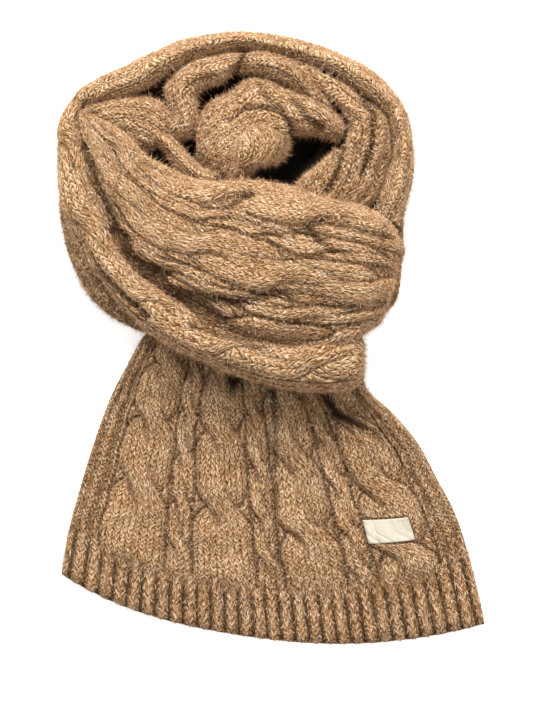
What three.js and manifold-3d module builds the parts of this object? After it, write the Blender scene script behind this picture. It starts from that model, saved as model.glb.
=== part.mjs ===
// A chunky cable knit scarf, wound into a loop and laid flat, with its free end fanned out below.
// Millimetres, +Z up. The origin is on the ground under the middle of the whole outline.
// +X is to the right of the free end and +Y is away from its hem.

import * as THREE from "three";
import { mergeVertices } from "three/addons/utils/BufferGeometryUtils.js";
import Module from "manifold-3d";

const wasm = await Module();
wasm.setup();

// Driving sizes
const CLOTH = 5.5; // the knit between its cables
const TAIL_CLOTH = 6.5;
const TAIL_LEAST = 2.5; // the thinnest place of the free end
const GATHER = 1.5; // how far its columns part where it is drawn together
const HEM_TURN = 2.2; // how far the hem's tip rounds down
const SEAM = 0.5; // left between two stretches that touch
const COARSE = 0.6; // share of a stretch's points that its clearance needs
const SMOOTHED = 0.03; // how far a cut surface may be evened out
const LAYERS_TOP = 18; // height of the hidden layers on the ground
const LAYER = 9; // one doubled layer of them
const RIB_PITCH = 9.3;
const RIB_RISE = 1.6;
const CABLE_WIDTH = 44;
const CABLE_RISE = 4.2;
const CABLE_HALF_TWIST = 42;
const ROPE_WIDTH = 19;
const ROPE_RISE = 3;
const ROPE_HALF_TWIST = 28;
const GROUND = 0.6; // height of the purl ground beside a crossing, as a share of the cable's
const EDGE_RIBS = 19.5;
const GUTTER = 1;
const PULL = 0.7; // the turns of the loop are pulled long, so 1 mm of them is 0.7 mm of slack knit
const HEM_DEPTH = 24;
const LABEL_CLOTH = 0.8;
const YARN = { color: 0xb08a5f, roughness: 0.95, metalness: 0 };
const CREAM = { color: 0xefe6cf, roughness: 0.8, metalness: 0 };

const clamp = THREE.MathUtils.clamp;
const mix = THREE.MathUtils.lerp;

// The knit, column by column across the scarf's 280 mm. calm is how far from the hem a cable's
// strands still lie side by side.
const COLUMNS = [
  { kind: "rib", width: EDGE_RIBS, phase: 0 },
  { kind: "cable", width: CABLE_WIDTH, phase: 0.77, calm: 51.5 },
  { kind: "rope", width: ROPE_WIDTH, phase: 0.02, calm: 27.4 },
  { kind: "cable", width: CABLE_WIDTH, phase: 0.8, calm: 50.5 },
  { kind: "rope", width: ROPE_WIDTH, phase: 0.02, calm: 27.4 },
  { kind: "cable", width: CABLE_WIDTH, phase: 0.07, calm: 39.2 },
  { kind: "rope", width: ROPE_WIDTH, phase: 0.45, calm: 15.4 },
  { kind: "cable", width: CABLE_WIDTH, phase: 0.62, calm: 16 },
  { kind: "rib", width: EDGE_RIBS, phase: 0 },
];
let filled = 0;
for (const column of COLUMNS) {
  column.start = filled;
  filled += column.width + GUTTER;
}
const SCARF_WIDTH = filled - GUTTER;

// Two strands that change sides once in each half twist, the one that crosses on top raised.
function twist(across, along, width, rise, halfTwist, column) {
  const turn = Math.PI * (Math.max(along, column.calm) / halfTwist + column.phase);
  const radius = 0.29 * width;
  const swing = (width / 2 - radius) * Math.tanh(2 * Math.cos(turn));
  const strand = (centre, over) => {
    const off = (across - centre) / radius;
    return rise * (1 + 0.3 * over) * Math.sqrt(Math.max(0, 1 - off ** 4));
  };
  const [one, other] = [strand(swing, Math.sin(turn)), strand(-swing, -Math.sin(turn))];
  const gap = Math.min(Math.abs(across - swing), Math.abs(across + swing)) - radius;
  const ground = GROUND * rise * THREE.MathUtils.smoothstep(gap, 0.4, 2.6);
  return Math.max((one ** 4 + other ** 4) ** 0.25, ground);
}

// How far the knit stands out at a place on the flat scarf.
function knitRise(across, along) {
  const column = COLUMNS.find((c) => across >= c.start && across <= c.start + c.width);
  if (!column) return 0;
  const fromMiddle = across - column.start - column.width / 2;
  if (column.kind === "cable")
    return twist(fromMiddle, along, CABLE_WIDTH, CABLE_RISE, CABLE_HALF_TWIST, column);
  if (column.kind === "rope")
    return twist(fromMiddle, along, ROPE_WIDTH, ROPE_RISE, ROPE_HALF_TWIST, column);
  return RIB_RISE * Math.abs(Math.cos((Math.PI * fromMiddle) / RIB_PITCH));
}

// The columns of a table as smooth curves through its rows, for u from 0 to 1.
function curves(names, rows) {
  const last = rows.length - 1;
  const curve = (c) => (u) => {
    const at = clamp(u, 0, 1) * last;
    const i = Math.min(Math.floor(at), last - 1);
    const f = at - i;
    const [a, b, d, e] = [i - 1, i, i + 1, i + 2].map((k) => rows[clamp(k, 0, last)][c]);
    const bend = (2 * a - 5 * b + 4 * d - e) * f * f + (3 * b - a - 3 * d + e) * f * f * f;
    return 0.5 * (2 * b + (d - a) * f + bend);
  };
  return Object.fromEntries(names.map((name, c) => [name, curve(c)]));
}

// Each row is one section: its two edges in plan, the height of each edge, and of its crown.
const SECTION = ["ax", "ay", "bx", "by", "az", "bz", "top"];
const FAN_SECTION = ["ax", "ay", "mx", "my", "bx", "by", "under", "thick", "gather"];

// Creases and ridges: a line in plan, how deep it is at each end, and how wide.
const CREASES = {
  front_band: [
    { line: [[-45, 79], [-30, 81], [-14, 88]], depth: [1.5, 3], width: 4 },
    {
      line: [[-28, 75], [-10, 69], [6, 64], [16, 66], [30, 72], [43, 69], [69, 62]],
      depth: [2, 3], width: 4,
    },
    { line: [[23, 65], [38, 54], [52, 52]], depth: [3, 1.5], width: 4 },
    { line: [[9, 50], [30, 43], [43, 36]], depth: [2, 2], width: 4 },
    { line: [[-59, 28], [-18, 24], [1, 28], [21, 29], [49, 20]], depth: [3.5, 2], width: 5 },
    { line: [[-69, 39], [-43, 49]], depth: [2, 1], width: 4 },
    {
      line: [[-117, 120], [-111, 101], [-104, 84], [-96, 66], [-88, 51], [-75, 40]],
      depth: [2, 4.5], width: 6,
    },
    { line: [[-75, 40], [-60, 31], [-46, 22], [-29, 13], [-9, 5]], depth: [4.5, 3], width: 6 },
  ],
  lower_band: [
    { line: [[-50, 8], [-24, -1], [23, -21]], depth: [3, 1.5], width: 4 },
    {
      line: [[-126, 96], [-124, 77], [-116, 57], [-106, 42], [-92, 27], [-78, 14]],
      depth: [1, 3.5], width: 3,
    },
  ],
  inner_right: [
    {
      line: [[32, 169], [46, 161], [57, 152], [64, 141], [63, 120], [57, 103]],
      depth: [3.5, 3.5], width: 3,
    },
    {
      line: [[30, 154], [41, 144], [47, 132], [45, 122], [40, 100], [35, 92]],
      depth: [3.5, 3], width: 3,
    },
  ],
  tail_panel: [
    { line: [[30, -28], [40, -47], [67, -61], [78, -72], [86, -90]], depth: [6, 1], width: 5 },
    { line: [[48, -28], [70, -44], [92, -70], [108, -104]], depth: [-7, -1], width: 9 },
    { line: [[-24, -20], [-26, -42]], depth: [7, 1], width: 6 },
    { line: [[0, -20], [2, -60], [4, -165]], depth: [4, 1.5], width: 4 },
  ],
};

function creaseDepth(creases, x, y) {
  let sum = 0;
  for (const { line, depth, width } of creases) {
    let best = { far: Infinity, share: 0 };
    for (let i = 0; i + 1 < line.length; i++) {
      const [x0, y0] = line[i];
      const [dx, dy] = [line[i + 1][0] - x0, line[i + 1][1] - y0];
      const f = clamp(((x - x0) * dx + (y - y0) * dy) / (dx * dx + dy * dy), 0, 1);
      const far = Math.hypot(x - x0 - f * dx, y - y0 - f * dy);
      if (far < best.far) best = { far, share: (i + f) / (line.length - 1) };
    }
    sum += mix(depth[0], depth[1], best.share) * Math.exp(-((best.far / width) ** 2));
  }
  return sum;
}

// The stretches, from the one on top to the one that lies lowest.
// full is how square a section is, 2 being an ellipse. knit says which part of the scarf's width
// shows from edge a to edge b, where the row starts along its length, and how strong the knit is.
const STRETCHES = [
  {
    name: "lower_band", filled: 0.4, wall: CLOTH, full: 2.2, along: 36, across: 10, inside: 4,
    knit: { from: 212, to: 284, start: 147, pull: PULL, rise: 0.35, most: 1.3 * CABLE_RISE },
    rows: [
      [-119, 152, -128, 147, 19, 18.4, 32],
      [-124, 137, -133, 132, 26, 18.4, 40],
      [-121, 119, -133.8, 115, 28, 18.4, 44],
      [-115.5, 101, -133, 96, 30, 18.4, 46],
      [-108.5, 83, -131, 80, 31, 20, 49],
      [-101, 65, -123, 60, 31, 24, 51],
      [-93, 49, -114, 44, 31, 25, 52.5],
      [-80, 37, -102, 29, 31, 25, 54],
      [-65, 27, -90, 15, 31, 26, 55],
      [-50, 18, -74, 2, 31, 29, 56],
      [-32, 9, -53, -10, 31, 31, 57.5],
      [-10, 1, -30, -20, 31, 31, 58.5],
      [14, -3, 2, -30, 31, 31, 58],
      [36, -1, 30, -33, 31, 31, 56],
      [53, 0.5, 50, -32, 31, 29, 49],
      [58, -4, 58, -25, 31, 29, 38],
    ],
  },
  {
    name: "front_band", filled: 0.05, wall: CLOTH, full: 2.7, along: 36, across: 20, inside: 5,
    knit: { from: -20, to: 205, start: 160, pull: PULL, rise: 0.85, most: 1.3 * CABLE_RISE },
    rows: [
      [-120, 144, -124, 134, 19, 26, 38],
      [-108, 138, -121, 114, 19, 28, 46],
      [-93, 130, -115, 95, 19, 30, 52],
      [-78, 112.5, -108, 75, 19, 30, 57],
      [-57, 101, -97, 54, 19, 30, 61],
      [-34, 97, -79, 36, 19, 30, 65],
      [-14, 98, -56, 21, 19, 30, 68],
      [10, 95, -32, 8, 19, 30, 70],
      [34, 88, -4, -1, 19, 30, 69],
      [57, 82, 24, -4, 19, 30, 66],
      [70.5, 75.5, 45, -1, 19, 28, 60],
      [78, 63, 60, 9, 19, 22, 50],
      [79, 50, 74, 23, 19, 19, 36],
    ],
  },
  {
    name: "top_rim", wall: CLOTH, full: 2, along: 34, across: 8, inside: 4,
    knit: { from: 0, to: 19, start: 0, rise: 0.5, most: RIB_RISE },
    rows: [
      [-129, 145, -121, 146, 19, 19, 28],
      [-121, 155, -112, 148, 18.4, 18.4, 34],
      [-108, 164, -97, 151, 18.4, 18.4, 38],
      [-92, 171, -80, 156, 18.4, 18.4, 40],
      [-74, 180, -65, 167, 18.4, 18.4, 41],
      [-50, 189, -44, 177.5, 18.4, 18.4, 42],
      [-18, 192.5, -17, 182, 18.4, 18.4, 42],
      [14, 188.5, 11, 177, 18.4, 18.4, 42],
      [47, 176.5, 38, 166.5, 18.4, 18.4, 42],
      [70, 162, 59, 152, 18.4, 18.4, 42],
      [83, 143.5, 73, 139, 18.4, 18.4, 42],
      [88, 121, 77, 120, 18.4, 18.4, 42],
      [88, 103, 74, 107, 18.4, 18.4, 41],
      [84.5, 85, 69, 93, 18.4, 18.4, 39],
      [81, 70, 64, 82, 18.4, 18.4, 34],
    ],
  },
  {
    name: "core_nose", wall: CLOTH, full: 2.3, along: 12, across: 12, inside: 4,
    knit: { from: 0, to: 19, start: 0, rise: 0.5, most: RIB_RISE },
    rows: [
      [4, 142, -19, 140, 30, 30, 42],
      [9.5, 132, -25, 131, 20, 26, 53],
      [10.5, 120, -28, 120, 18.4, 24, 57],
      [5, 111, -28, 109, 18.4, 22, 55],
      [-12.5, 108, -28, 103, 18.4, 21, 51],
      [-15.5, 99, -26, 95, 18.4, 20, 45],
    ],
  },
  {
    name: "inner_roll", wall: 0, full: 2, along: 24, across: 8, inside: 2,
    knit: { from: 0, to: 19, start: 0, rise: 0.6, most: RIB_RISE },
    rows: [
      [-70, 137, -65, 124, 19, 19, 38],
      [-64, 139, -54, 126, 19, 19, 41],
      [-62.5, 143, -46, 133, 19, 19, 43],
      [-65, 150, -47, 145, 19, 19, 45],
      [-66, 159, -48, 151, 19, 19, 45],
      [-59, 168, -44, 156, 19, 19, 45],
      [-48, 174.5, -38, 158.5, 19, 19, 46],
      [-34, 178, -31, 160, 19, 19, 46],
      [-20, 180, -19.5, 168, 19, 19, 40],
    ],
  },
  {
    name: "inner_back_roll", wall: 0, full: 2, along: 16, across: 8, inside: 2,
    knit: { from: 0, to: 19, start: 0, rise: 0.6, most: RIB_RISE },
    rows: [
      [-18.5, 180, -18.5, 167, 19, 19, 40],
      [-6, 180, -8, 166, 19, 19, 45],
      [8, 177, 3, 162, 19, 19, 46],
      [21, 168, 13, 155, 19, 19, 46],
      [30, 156, 24, 150, 19, 19, 44],
      [38, 146, 35, 142, 19, 19, 38],
    ],
  },
  {
    name: "thin_strip", wall: 0, full: 2, along: 14, across: 8, inside: 2,
    knit: { from: 0, to: 14, start: 0, rise: 0.5, most: RIB_RISE },
    rows: [
      [-77, 135, -80, 127, 19, 19, 40],
      [-69, 133, -74, 123, 19, 19, 43],
      [-61, 125, -68, 117, 19, 19, 45],
      [-54, 116, -62, 109, 19, 19, 46],
      [-44, 108, -54, 100, 19, 19, 46],
      [-31, 104, -38, 93, 19, 19, 44],
    ],
  },
  {
    name: "core_fold", wall: CLOTH, full: 2.3, along: 20, across: 12, inside: 4,
    knit: { from: 0, to: 19, start: 0, rise: 0.3, most: RIB_RISE },
    rows: [
      [-48, 133, -47, 114, 18.4, 18.4, 34],
      [-43, 144, -42, 105, 18.4, 18.4, 41],
      [-35, 151, -34, 99, 18.4, 18.4, 45],
      [-25, 156, -24, 96, 18.4, 18.4, 48],
      [-17, 163, -16.5, 98, 18.4, 18.4, 50],
      [-8, 166, -7, 112, 18.4, 18.4, 51],
      [7, 160, 7, 118, 18.4, 18.4, 51],
      [20, 155, 17, 128, 18.4, 18.4, 49],
      [33, 148, 29, 127, 18.4, 18.4, 47],
      [43, 139, 38, 125, 18.4, 18.4, 43],
      [46, 132, 43, 123, 18.4, 18.4, 34],
    ],
  },
  {
    name: "inner_right", filled: 0.2, wall: CLOTH, full: 2.3, along: 20, across: 16, inside: 4,
    knit: { from: 0, to: 19, start: 0, rise: 0.6, most: RIB_RISE },
    rows: [
      [10, 178, 8, 170, 18.4, 18.4, 30],
      [26, 171, 22, 161, 18.4, 18.4, 38],
      [38, 166, 30, 153, 18.4, 18.4, 42],
      [51, 158, 38, 146, 18.4, 18.4, 44],
      [61, 150, 45, 138, 18.4, 18.4, 45],
      [69, 142, 48, 129, 18.4, 18.4, 45],
      [73, 132, 41, 119, 18.4, 18.4, 44],
      [75, 119, 30, 109, 18.4, 18.4, 42],
      [72, 106, 20, 100, 18.4, 18.4, 40],
      [67, 92, 12, 92, 18.4, 18.4, 38],
      [61, 82, 9, 84, 18.4, 18.4, 36],
    ],
  },
  {
    name: "inner_left", wall: CLOTH, full: 2.2, along: 14, across: 8, inside: 4,
    knit: { from: 0, to: 19, start: 0, rise: 0.3, most: RIB_RISE },
    rows: [
      [-117, 147, -119, 140, 18.4, 18.4, 32],
      [-105, 150, -107, 133, 18.4, 18.4, 38],
      [-90, 152, -93, 124, 18.4, 18.4, 42],
      [-76, 151, -81, 117, 18.4, 18.4, 43],
      [-66, 144, -70, 122, 18.4, 18.4, 42],
      [-58, 137, -62, 127, 18.4, 18.4, 36],
    ],
  },
  {
    name: "left_outer", wall: CLOTH, full: 2, along: 18, across: 10, inside: 4,
    knit: { from: 0, to: 19, start: 0, rise: 0.8, most: RIB_RISE },
    rows: [
      [-127, 94, -133, 94, 18.4, 18.4, 26],
      [-116, 76, -132.5, 75, 18.4, 18.4, 32],
      [-107, 57, -128, 57, 18.4, 18.4, 36],
      [-98, 42, -121, 38, 18.4, 18.4, 37],
      [-87, 30, -112, 24, 18.4, 18.4, 36],
      [-76, 20, -99, 13, 18.4, 18.4, 33],
      [-66, 12, -81, 4, 18.4, 18.4, 28],
    ],
  },
];

const TAIL = {
  name: "tail_panel", full: 8, along: 24, inside: 4,
  // The two edges and the middle in plan, the underside's height, the cloth, and how deep it gathers
  rows: [
    [-64, 16, -12, 6, 42, 6, 18.5, 5, 2.2],
    [-79, 4, -15, -10, 54, -12, 18.5, 5.5, 2.2],
    [-92, -18, -13, -29, 60, -32, 12, TAIL_CLOTH, 2],
    [-101, -35, -11, -52, 75, -46, 5, TAIL_CLOTH, 1.7],
    [-108.5, -54, -9, -79, 91.5, -65, 1, TAIL_CLOTH, 1.3],
    [-115.5, -75, -6, -108, 103.5, -87, 0, TAIL_CLOTH, 1.1],
    [-122, -97, -4, -132, 115, -109, 0, TAIL_CLOTH, 1],
    [-128, -119, -1, -155, 123.5, -134, 0, TAIL_CLOTH, 0.9],
    [-133.2, -148.5, 2, -190.2, 134.5, -180, 0, TAIL_CLOTH - 0.5, 0.6],
  ],
};
const TAIL_LENGTH = 196; // along its middle
const HEM_BULGE = 3; // how far the left half of the hem stands out below a parabola
const HEM_FROM = 1 - HEM_DEPTH / TAIL_LENGTH;
// The label's corners on the free end, as places along it and across it: 30 x 16 mm
const LABEL = {
  corners: {
    u00: 0.684, q00: 0.544, u01: 0.715, q01: 0.778, u10: 0.766, q10: 0.54, u11: 0.794, q11: 0.772,
  },
  lift: 0.4, along: 4, across: 6, spread: 7,
};

// The hidden layers: their outline, seen from above, and the pits that show dark between the folds
const OUTLINE = [
  [-127, 148], [-134, 125], [-133.5, 100], [-131, 76], [-127, 58], [-120, 38], [-110, 23], [-96, 12],
  [-76, 8], [-54, 4], [-20, 0], [20, -4], [48, -4], [62, 11], [77, 23], [81, 44], [82, 62], [83, 84],
  [87, 104], [88, 121], [83, 144], [69, 161.5], [46, 176], [14, 187.5], [-18, 191.5], [-50, 188],
  [-74, 179], [-93, 170], [-113, 160],
];
const PITS = [
  [[12, 128], [32, 125], [27, 112], [14, 97], [0, 95], [-13, 97], [-14, 107], [2, 109], [11, 116]],
  [[-80, 123], [-72, 120], [-62, 106], [-52, 98], [-58, 96], [-72, 106]],
  [[-52, 124], [-46, 124], [-48, 113], [-54, 112], [-60, 120]],
  [[-47, 150], [-36, 158], [-30, 156], [-40, 147], [-47, 137]],
];
const PIT_FLOOR = 5;

function closedSolid(positions, faces) {
  let volume = 0;
  const at = (i) => new THREE.Vector3(...positions.slice(3 * i, 3 * i + 3));
  for (let i = 0; i < faces.length; i += 3)
    volume += at(faces[i]).dot(at(faces[i + 1]).cross(at(faces[i + 2])));
  const triVerts = new Uint32Array(volume > 0 ? faces : faces.slice().reverse());
  const vertProperties = new Float32Array(positions);
  return new wasm.Manifold(new wasm.Mesh({ numProp: 3, vertProperties, triVerts }));
}

// Faces between two chains of points that run the same way, each given by its point numbers.
function zip(top, low) {
  const faces = [];
  let [i, j] = [0, 0];
  while (i + 1 < top.length || j + 1 < low.length) {
    const topNext = (i + 1) / (top.length - 1);
    const lowNext = (j + 1) / (low.length - 1);
    if (j + 1 === low.length || (i + 1 < top.length && topNext <= lowNext))
      faces.push(top[i], top[++i], low[j]);
    else faces.push(top[i], low[j + 1], low[j++]);
  }
  return faces;
}

// Joins closed rings, one after the other, and closes both ends. Each ring runs over its top points
// from edge a to edge b, and back below.
function solidOfRings(rings, tops) {
  const size = rings[0].length;
  const faces = [];
  for (let i = 0; i + 1 < rings.length; i++)
    for (let j = 0; j < size; j++) {
      const [a, b] = [i * size + j, i * size + ((j + 1) % size)];
      faces.push(a, b, b + size, a, b + size, a + size);
    }
  const numbers = [...Array(size).keys()];
  const cap = zip(numbers.slice(0, tops), numbers.slice(tops).reverse());
  const last = (rings.length - 1) * size;
  faces.push(...cap.slice().reverse(), ...cap.map((k) => k + last));
  return closedSolid(rings.flat().flatMap((p) => p.toArray()), faces);
}

// The normal at each point of a grid, from its neighbours.
function normalsOf(grid) {
  const pick = (i, j) => grid[clamp(i, 0, grid.length - 1)][clamp(j, 0, grid[0].length - 1)];
  return grid.map((row, i) => row.map((_, j) => {
    const down = pick(i + 1, j).clone().sub(pick(i - 1, j));
    const side = pick(i, j + 1).clone().sub(pick(i, j - 1));
    const n = side.cross(down).normalize();
    return n;
  }));
}

// The share of a section's height at q, from -1 at edge a to 1 at edge b.
const crown = (q, full) => Math.pow(Math.max(0, 1 - Math.abs(q) ** full), 1 / full);
const crowded = (w, crowd) => mix(w, Math.sin((Math.PI / 2) * w), crowd);

function sectionPoint(c, u, q, full, inset) {
  const [ax, ay, bx, by] = [c.ax(u), c.ay(u), c.bx(u), c.by(u)];
  const half = Math.hypot(bx - ax, by - ay) / 2;
  const kept = q * Math.max(0.25, 1 - inset / half);
  const f = (kept + 1) / 2;
  const base = mix(c.az(u), c.bz(u), f);
  const rise = Math.max(1, c.top(u) - inset - base);
  return new THREE.Vector3(mix(ax, bx, f), mix(ay, by, f), base + rise * crown(q, full));
}

// The grid of a stretch's outer points, with its knit and creases raised from it, or with an even
// rise as high as its knit.
function outerGrid(stretch, grow, evenRise) {
  const c = curves(SECTION, stretch.rows);
  const { knit, along, across, full, wall } = stretch;
  const grid = [];
  for (let i = 0; i <= along; i++) {
    const row = [];
    for (let j = 0; j <= across; j++) {
      const q = crowded((2 * j) / across - 1, 0.9);
      row.push(sectionPoint(c, i / along, q, full, -grow));
    }
    grid.push(row);
  }
  const normals = normalsOf(grid);
  const middle = Math.floor(across / 2);
  const steps = grid.map((row, i) => (i ? row[middle].distanceTo(grid[i - 1][middle]) : 0));
  const length = steps.reduce((a, b) => a + b);
  let distance = 0;
  return grid.map((row, i) => {
    distance += steps[i];
    const near = Math.min(distance, length - distance);
    const end = evenRise ? 1 : THREE.MathUtils.smoothstep(near, -3, 14);
    const arcs = row.map((p, j) => (j ? p.distanceTo(row[j - 1]) : 0));
    const total = arcs.reduce((a, b) => a + b);
    let arc = 0;
    return row.map((p, j) => {
      arc += arcs[j];
      const edge = THREE.MathUtils.smoothstep(Math.min(arc, total - arc), 0, 8);
      const place = mix(knit.from, knit.to, arc / total);
      const row = knit.start + distance * (knit.pull ?? 1);
      const raised = evenRise ?? end * knit.rise * knitRise(place, row);
      const pressed = evenRise ? 0 : creaseDepth(CREASES[stretch.name] ?? [], p.x, p.y);
      const most = wall ? wall - 2 : 3.5;
      const out = edge * Math.max(raised - pressed, -most);
      return p.clone().addScaledVector(normals[i][j], out);
    });
  });
}

// A stretch as a wall that is open below, or as one solid roll where wall is 0.
function stretchSolid(stretch) {
  const c = curves(SECTION, stretch.rows);
  const { along, inside, full, wall } = stretch;
  const rings = outerGrid(stretch, 0).map((row, i) => {
    const under = [];
    const first = wall ? 0 : 1;
    for (let k = first; k <= inside - first; k++) {
      const q = crowded((2 * k) / inside - 1, wall ? 0.9 : 0);
      const point = sectionPoint(c, i / along, q, full, wall);
      if (!wall) point.z = mix(c.az(i / along), c.bz(i / along), (q + 1) / 2);
      under.push(point);
    }
    return [...row, ...under.reverse()];
  });
  return solidOfRings(rings, stretch.across + 1);
}

// What a stretch keeps clear of its lower neighbours: its outer shape grown by the seam, filled.
function clearance(stretch) {
  const c = curves(SECTION, stretch.rows);
  const along = Math.max(Math.min(stretch.along, 26), Math.round(COARSE * stretch.along));
  const across = 2 * Math.max(4, Math.round((COARSE * stretch.across) / 2));
  const most = stretch.knit.rise * stretch.knit.most;
  const grid = outerGrid({ ...stretch, along, across }, 2 * SEAM, most);
  const middle = grid.map((row) => row[across / 2].clone());
  const push = (row, from, to) => {
    const way = to.clone().sub(from).setZ(0).setLength(2 * SEAM);
    row.forEach((p) => p.add(way));
  };
  push(grid[0], middle[1], middle[0]);
  push(grid[along], middle[along - 1], middle[along]);
  const rings = grid.map((row, i) => {
    const low = Math.min(c.az(i / along), c.bz(i / along)) - SEAM;
    return [...row, row[across].clone().setZ(low), row[0].clone().setZ(low)];
  });
  return solidOfRings(rings, across + 1);
}

// What may fill a wall from below: its inner shape less the seam, down to the hidden layers.
function filling(stretch) {
  const c = curves(SECTION, stretch.rows);
  const [along, across] = [14, 6];
  const rings = [];
  for (let i = 0; i <= along; i++) {
    const u = mix(stretch.filled, 0.97, i / along);
    const row = [];
    for (let j = 0; j <= across; j++) {
      const q = crowded((2 * j) / across - 1, 0.9);
      row.push(sectionPoint(c, u, q, stretch.full, stretch.wall + 4 * SEAM));
    }
    const floor = LAYERS_TOP - 2;
    rings.push([...row, row[across].clone().setZ(floor), row[0].clone().setZ(floor)]);
  }
  return solidOfRings(rings, across + 1);
}

// The free end's plan position at u along it and q across it, through its edges and its middle.
function tailPlan(c, u, q) {
  const [left, middle, right] = [(q * (q - 1)) / 2, 1 - q * q, (q * (q + 1)) / 2];
  const x = c.ax(u) * left + c.mx(u) * middle + c.bx(u) * right;
  const y = c.ay(u) * left + c.my(u) * middle + c.by(u) * right;
  const bulge = q < 0 ? HEM_BULGE * 4 * q * q * (1 - q * q) * u ** 4 : 0;
  return [x, y - bulge];
}

const tailCurves = curves(FAN_SECTION, TAIL.rows);
const freeUnder = tailCurves.under;
tailCurves.under = (u) => Math.max(0, freeUnder(u)); // it lies on the ground, not below it

// The free end's upper side. kind says what is raised there: its columns, the hem's ribs, or an
// even rise as high as its knit.
function tailTop(u, q, kind) {
  const c = tailCurves;
  const [x, y] = tailPlan(c, u, q);
  const place = ((q + 1) / 2) * SCARF_WIDTH;
  const edge = THREE.MathUtils.smoothstep((1 - Math.abs(q)) * (SCARF_WIDTH / 2), 0, 6);
  const pressed = kind === "hem" ? 0 : creaseDepth(CREASES.tail_panel, x, y);
  let out = RIB_RISE * Math.abs(Math.cos((Math.PI * place) / RIB_PITCH));
  if (kind === "even") {
    const top = c.under(u) + c.thick(u) + 1.25 * CABLE_RISE + GATHER - Math.min(0, pressed);
    return new THREE.Vector3(x, y, top);
  }
  if (kind === "knit") {
    const fromHem = (1 - u) * TAIL_LENGTH;
    const rise = knitRise(place, fromHem);
    const gathered = GATHER * (c.gather(u) - 1) * (rise > 0.1 ? 1 : -1);
    const knitted = rise * Math.min(1, c.gather(u)) + gathered - pressed;
    out = mix(out, knitted, THREE.MathUtils.smoothstep(fromHem, HEM_DEPTH, HEM_DEPTH + 14));
  }
  out = Math.max(out, TAIL_LEAST - c.thick(u));
  return new THREE.Vector3(x, y, c.under(u) + c.thick(u) * crown(q, TAIL.full) + edge * out);
}

// The places across the free end where its points lie: close together on ribs, wider on cables.
function tailPlaces(kind) {
  const even = (count) => [...Array(count + 1).keys()].map((i) => (2 * i) / count - 1);
  if (kind === "even") return even(12).map((q) => 1.03 * q);
  if (kind === "hem") return even(Math.round((4 * SCARF_WIDTH) / RIB_PITCH));
  const steps = { rib: 6, cable: 6, rope: 4 };
  return COLUMNS.flatMap((column) => [...Array(steps[column.kind] + 1).keys()].map((i) => {
    const place = column.start + (column.width * i) / steps[column.kind];
    return (2 * place) / SCARF_WIDTH - 1;
  }));
}

function tailSolid(u0, u1, along, kind, grow) {
  const rings = [];
  const places = tailPlaces(kind);
  for (let i = 0; i <= along; i++) {
    const u = mix(u0, u1, i / along);
    const row = places.map((q) => tailTop(u, q, kind));
    const tip = kind === "hem" && i === along ? HEM_TURN : 0;
    row.forEach((p) => (p.z += grow - tip));
    const under = [];
    for (let k = 0; k <= TAIL.inside; k++) {
      const side = kind === "even" ? 1.03 : 1;
      const [x, y] = tailPlan(tailCurves, u, side * (1 - (2 * k) / TAIL.inside));
      under.push(new THREE.Vector3(x, y, tailCurves.under(u) - grow));
    }
    for (const edge of [row[0], row[row.length - 1]])
      edge.z = Math.max(edge.z, under[0].z + TAIL_LEAST);
    rings.push([...row, ...under]);
  }
  return solidOfRings(rings, places.length);
}

// The label lies on the knit that it is sewn to, pressed in to the knit's mean height. over is how
// far up the knit gives way to it, and grow how far around.
function labelSolid(grow, over) {
  const { u00, u01, u10, u11, q00, q01, q10, q11 } = LABEL.corners;
  const rings = [];
  for (let i = 0; i <= LABEL.along; i++) {
    const row = [];
    for (let j = 0; j <= LABEL.across; j++) {
      const wide = 1 + grow / 8;
      const f = 0.5 + wide * (i / LABEL.along - 0.5);
      const g = 0.5 + wide * (j / LABEL.across - 0.5);
      const u = mix(mix(u00, u01, g), mix(u10, u11, g), f);
      const q = mix(mix(q00, q01, g), mix(q10, q11, g), f);
      const [x, y] = tailPlan(tailCurves, u, q);
      let height = 0;
      for (const du of [-1, 0, 1])
        for (const dq of [-1, 0, 1]) {
          const nearU = u + (du * LABEL.spread) / TAIL_LENGTH;
          const nearQ = q + (2 * dq * LABEL.spread) / SCARF_WIDTH;
          height += tailTop(nearU, nearQ, "knit").z / 9;
        }
      row.push(new THREE.Vector3(x, y, height + LABEL.lift));
    }
    const top = row.map((p) => p.clone().setZ(p.z + LABEL_CLOTH + over));
    const low = row.map((p) => p.clone().setZ(p.z - grow));
    rings.push([...top, ...low.reverse()]);
  }
  return solidOfRings(rings, LABEL.across + 1);
}

// The hidden layers: rounded, doubled layers stacked on the ground inside one outline.
function layersSolid() {
  const curve = new THREE.CatmullRomCurve3(
    OUTLINE.map(([x, y]) => new THREE.Vector3(x, y, 0)), true, "centripetal",
  );
  const around = 52;
  const centre = new THREE.Vector3(-22, 92, 0);
  const points = curve.getSpacedPoints(around).slice(0, around);
  const profile = [
    [0, 3], [1.5, 1], [LAYER - 2, 1], [LAYER, 3.6], [LAYER + 2, 1], [LAYERS_TOP - 2, 1],
    [LAYERS_TOP, 4.5],
  ];
  const rings = profile.map(([z, inset]) => points.map((p) => {
    const inward = centre.clone().sub(p).normalize();
    return p.clone().addScaledVector(inward, inset).setZ(z);
  }));
  const faces = [];
  for (let i = 0; i + 1 < rings.length; i++)
    for (let j = 0; j < around; j++) {
      const [a, b] = [i * around + j, i * around + ((j + 1) % around)];
      faces.push(a, b, b + around, a, b + around, a + around);
    }
  for (const end of [0, rings.length - 1]) {
    const flat = rings[end].map((p) => new THREE.Vector2(p.x, p.y));
    for (const face of THREE.ShapeUtils.triangulateShape(flat, [])) {
      const turned = end === 0 ? face.slice().reverse() : face;
      faces.push(...turned.map((k) => end * around + k));
    }
  }
  return closedSolid(rings.flat().flatMap((p) => p.toArray()), faces);
}

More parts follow.
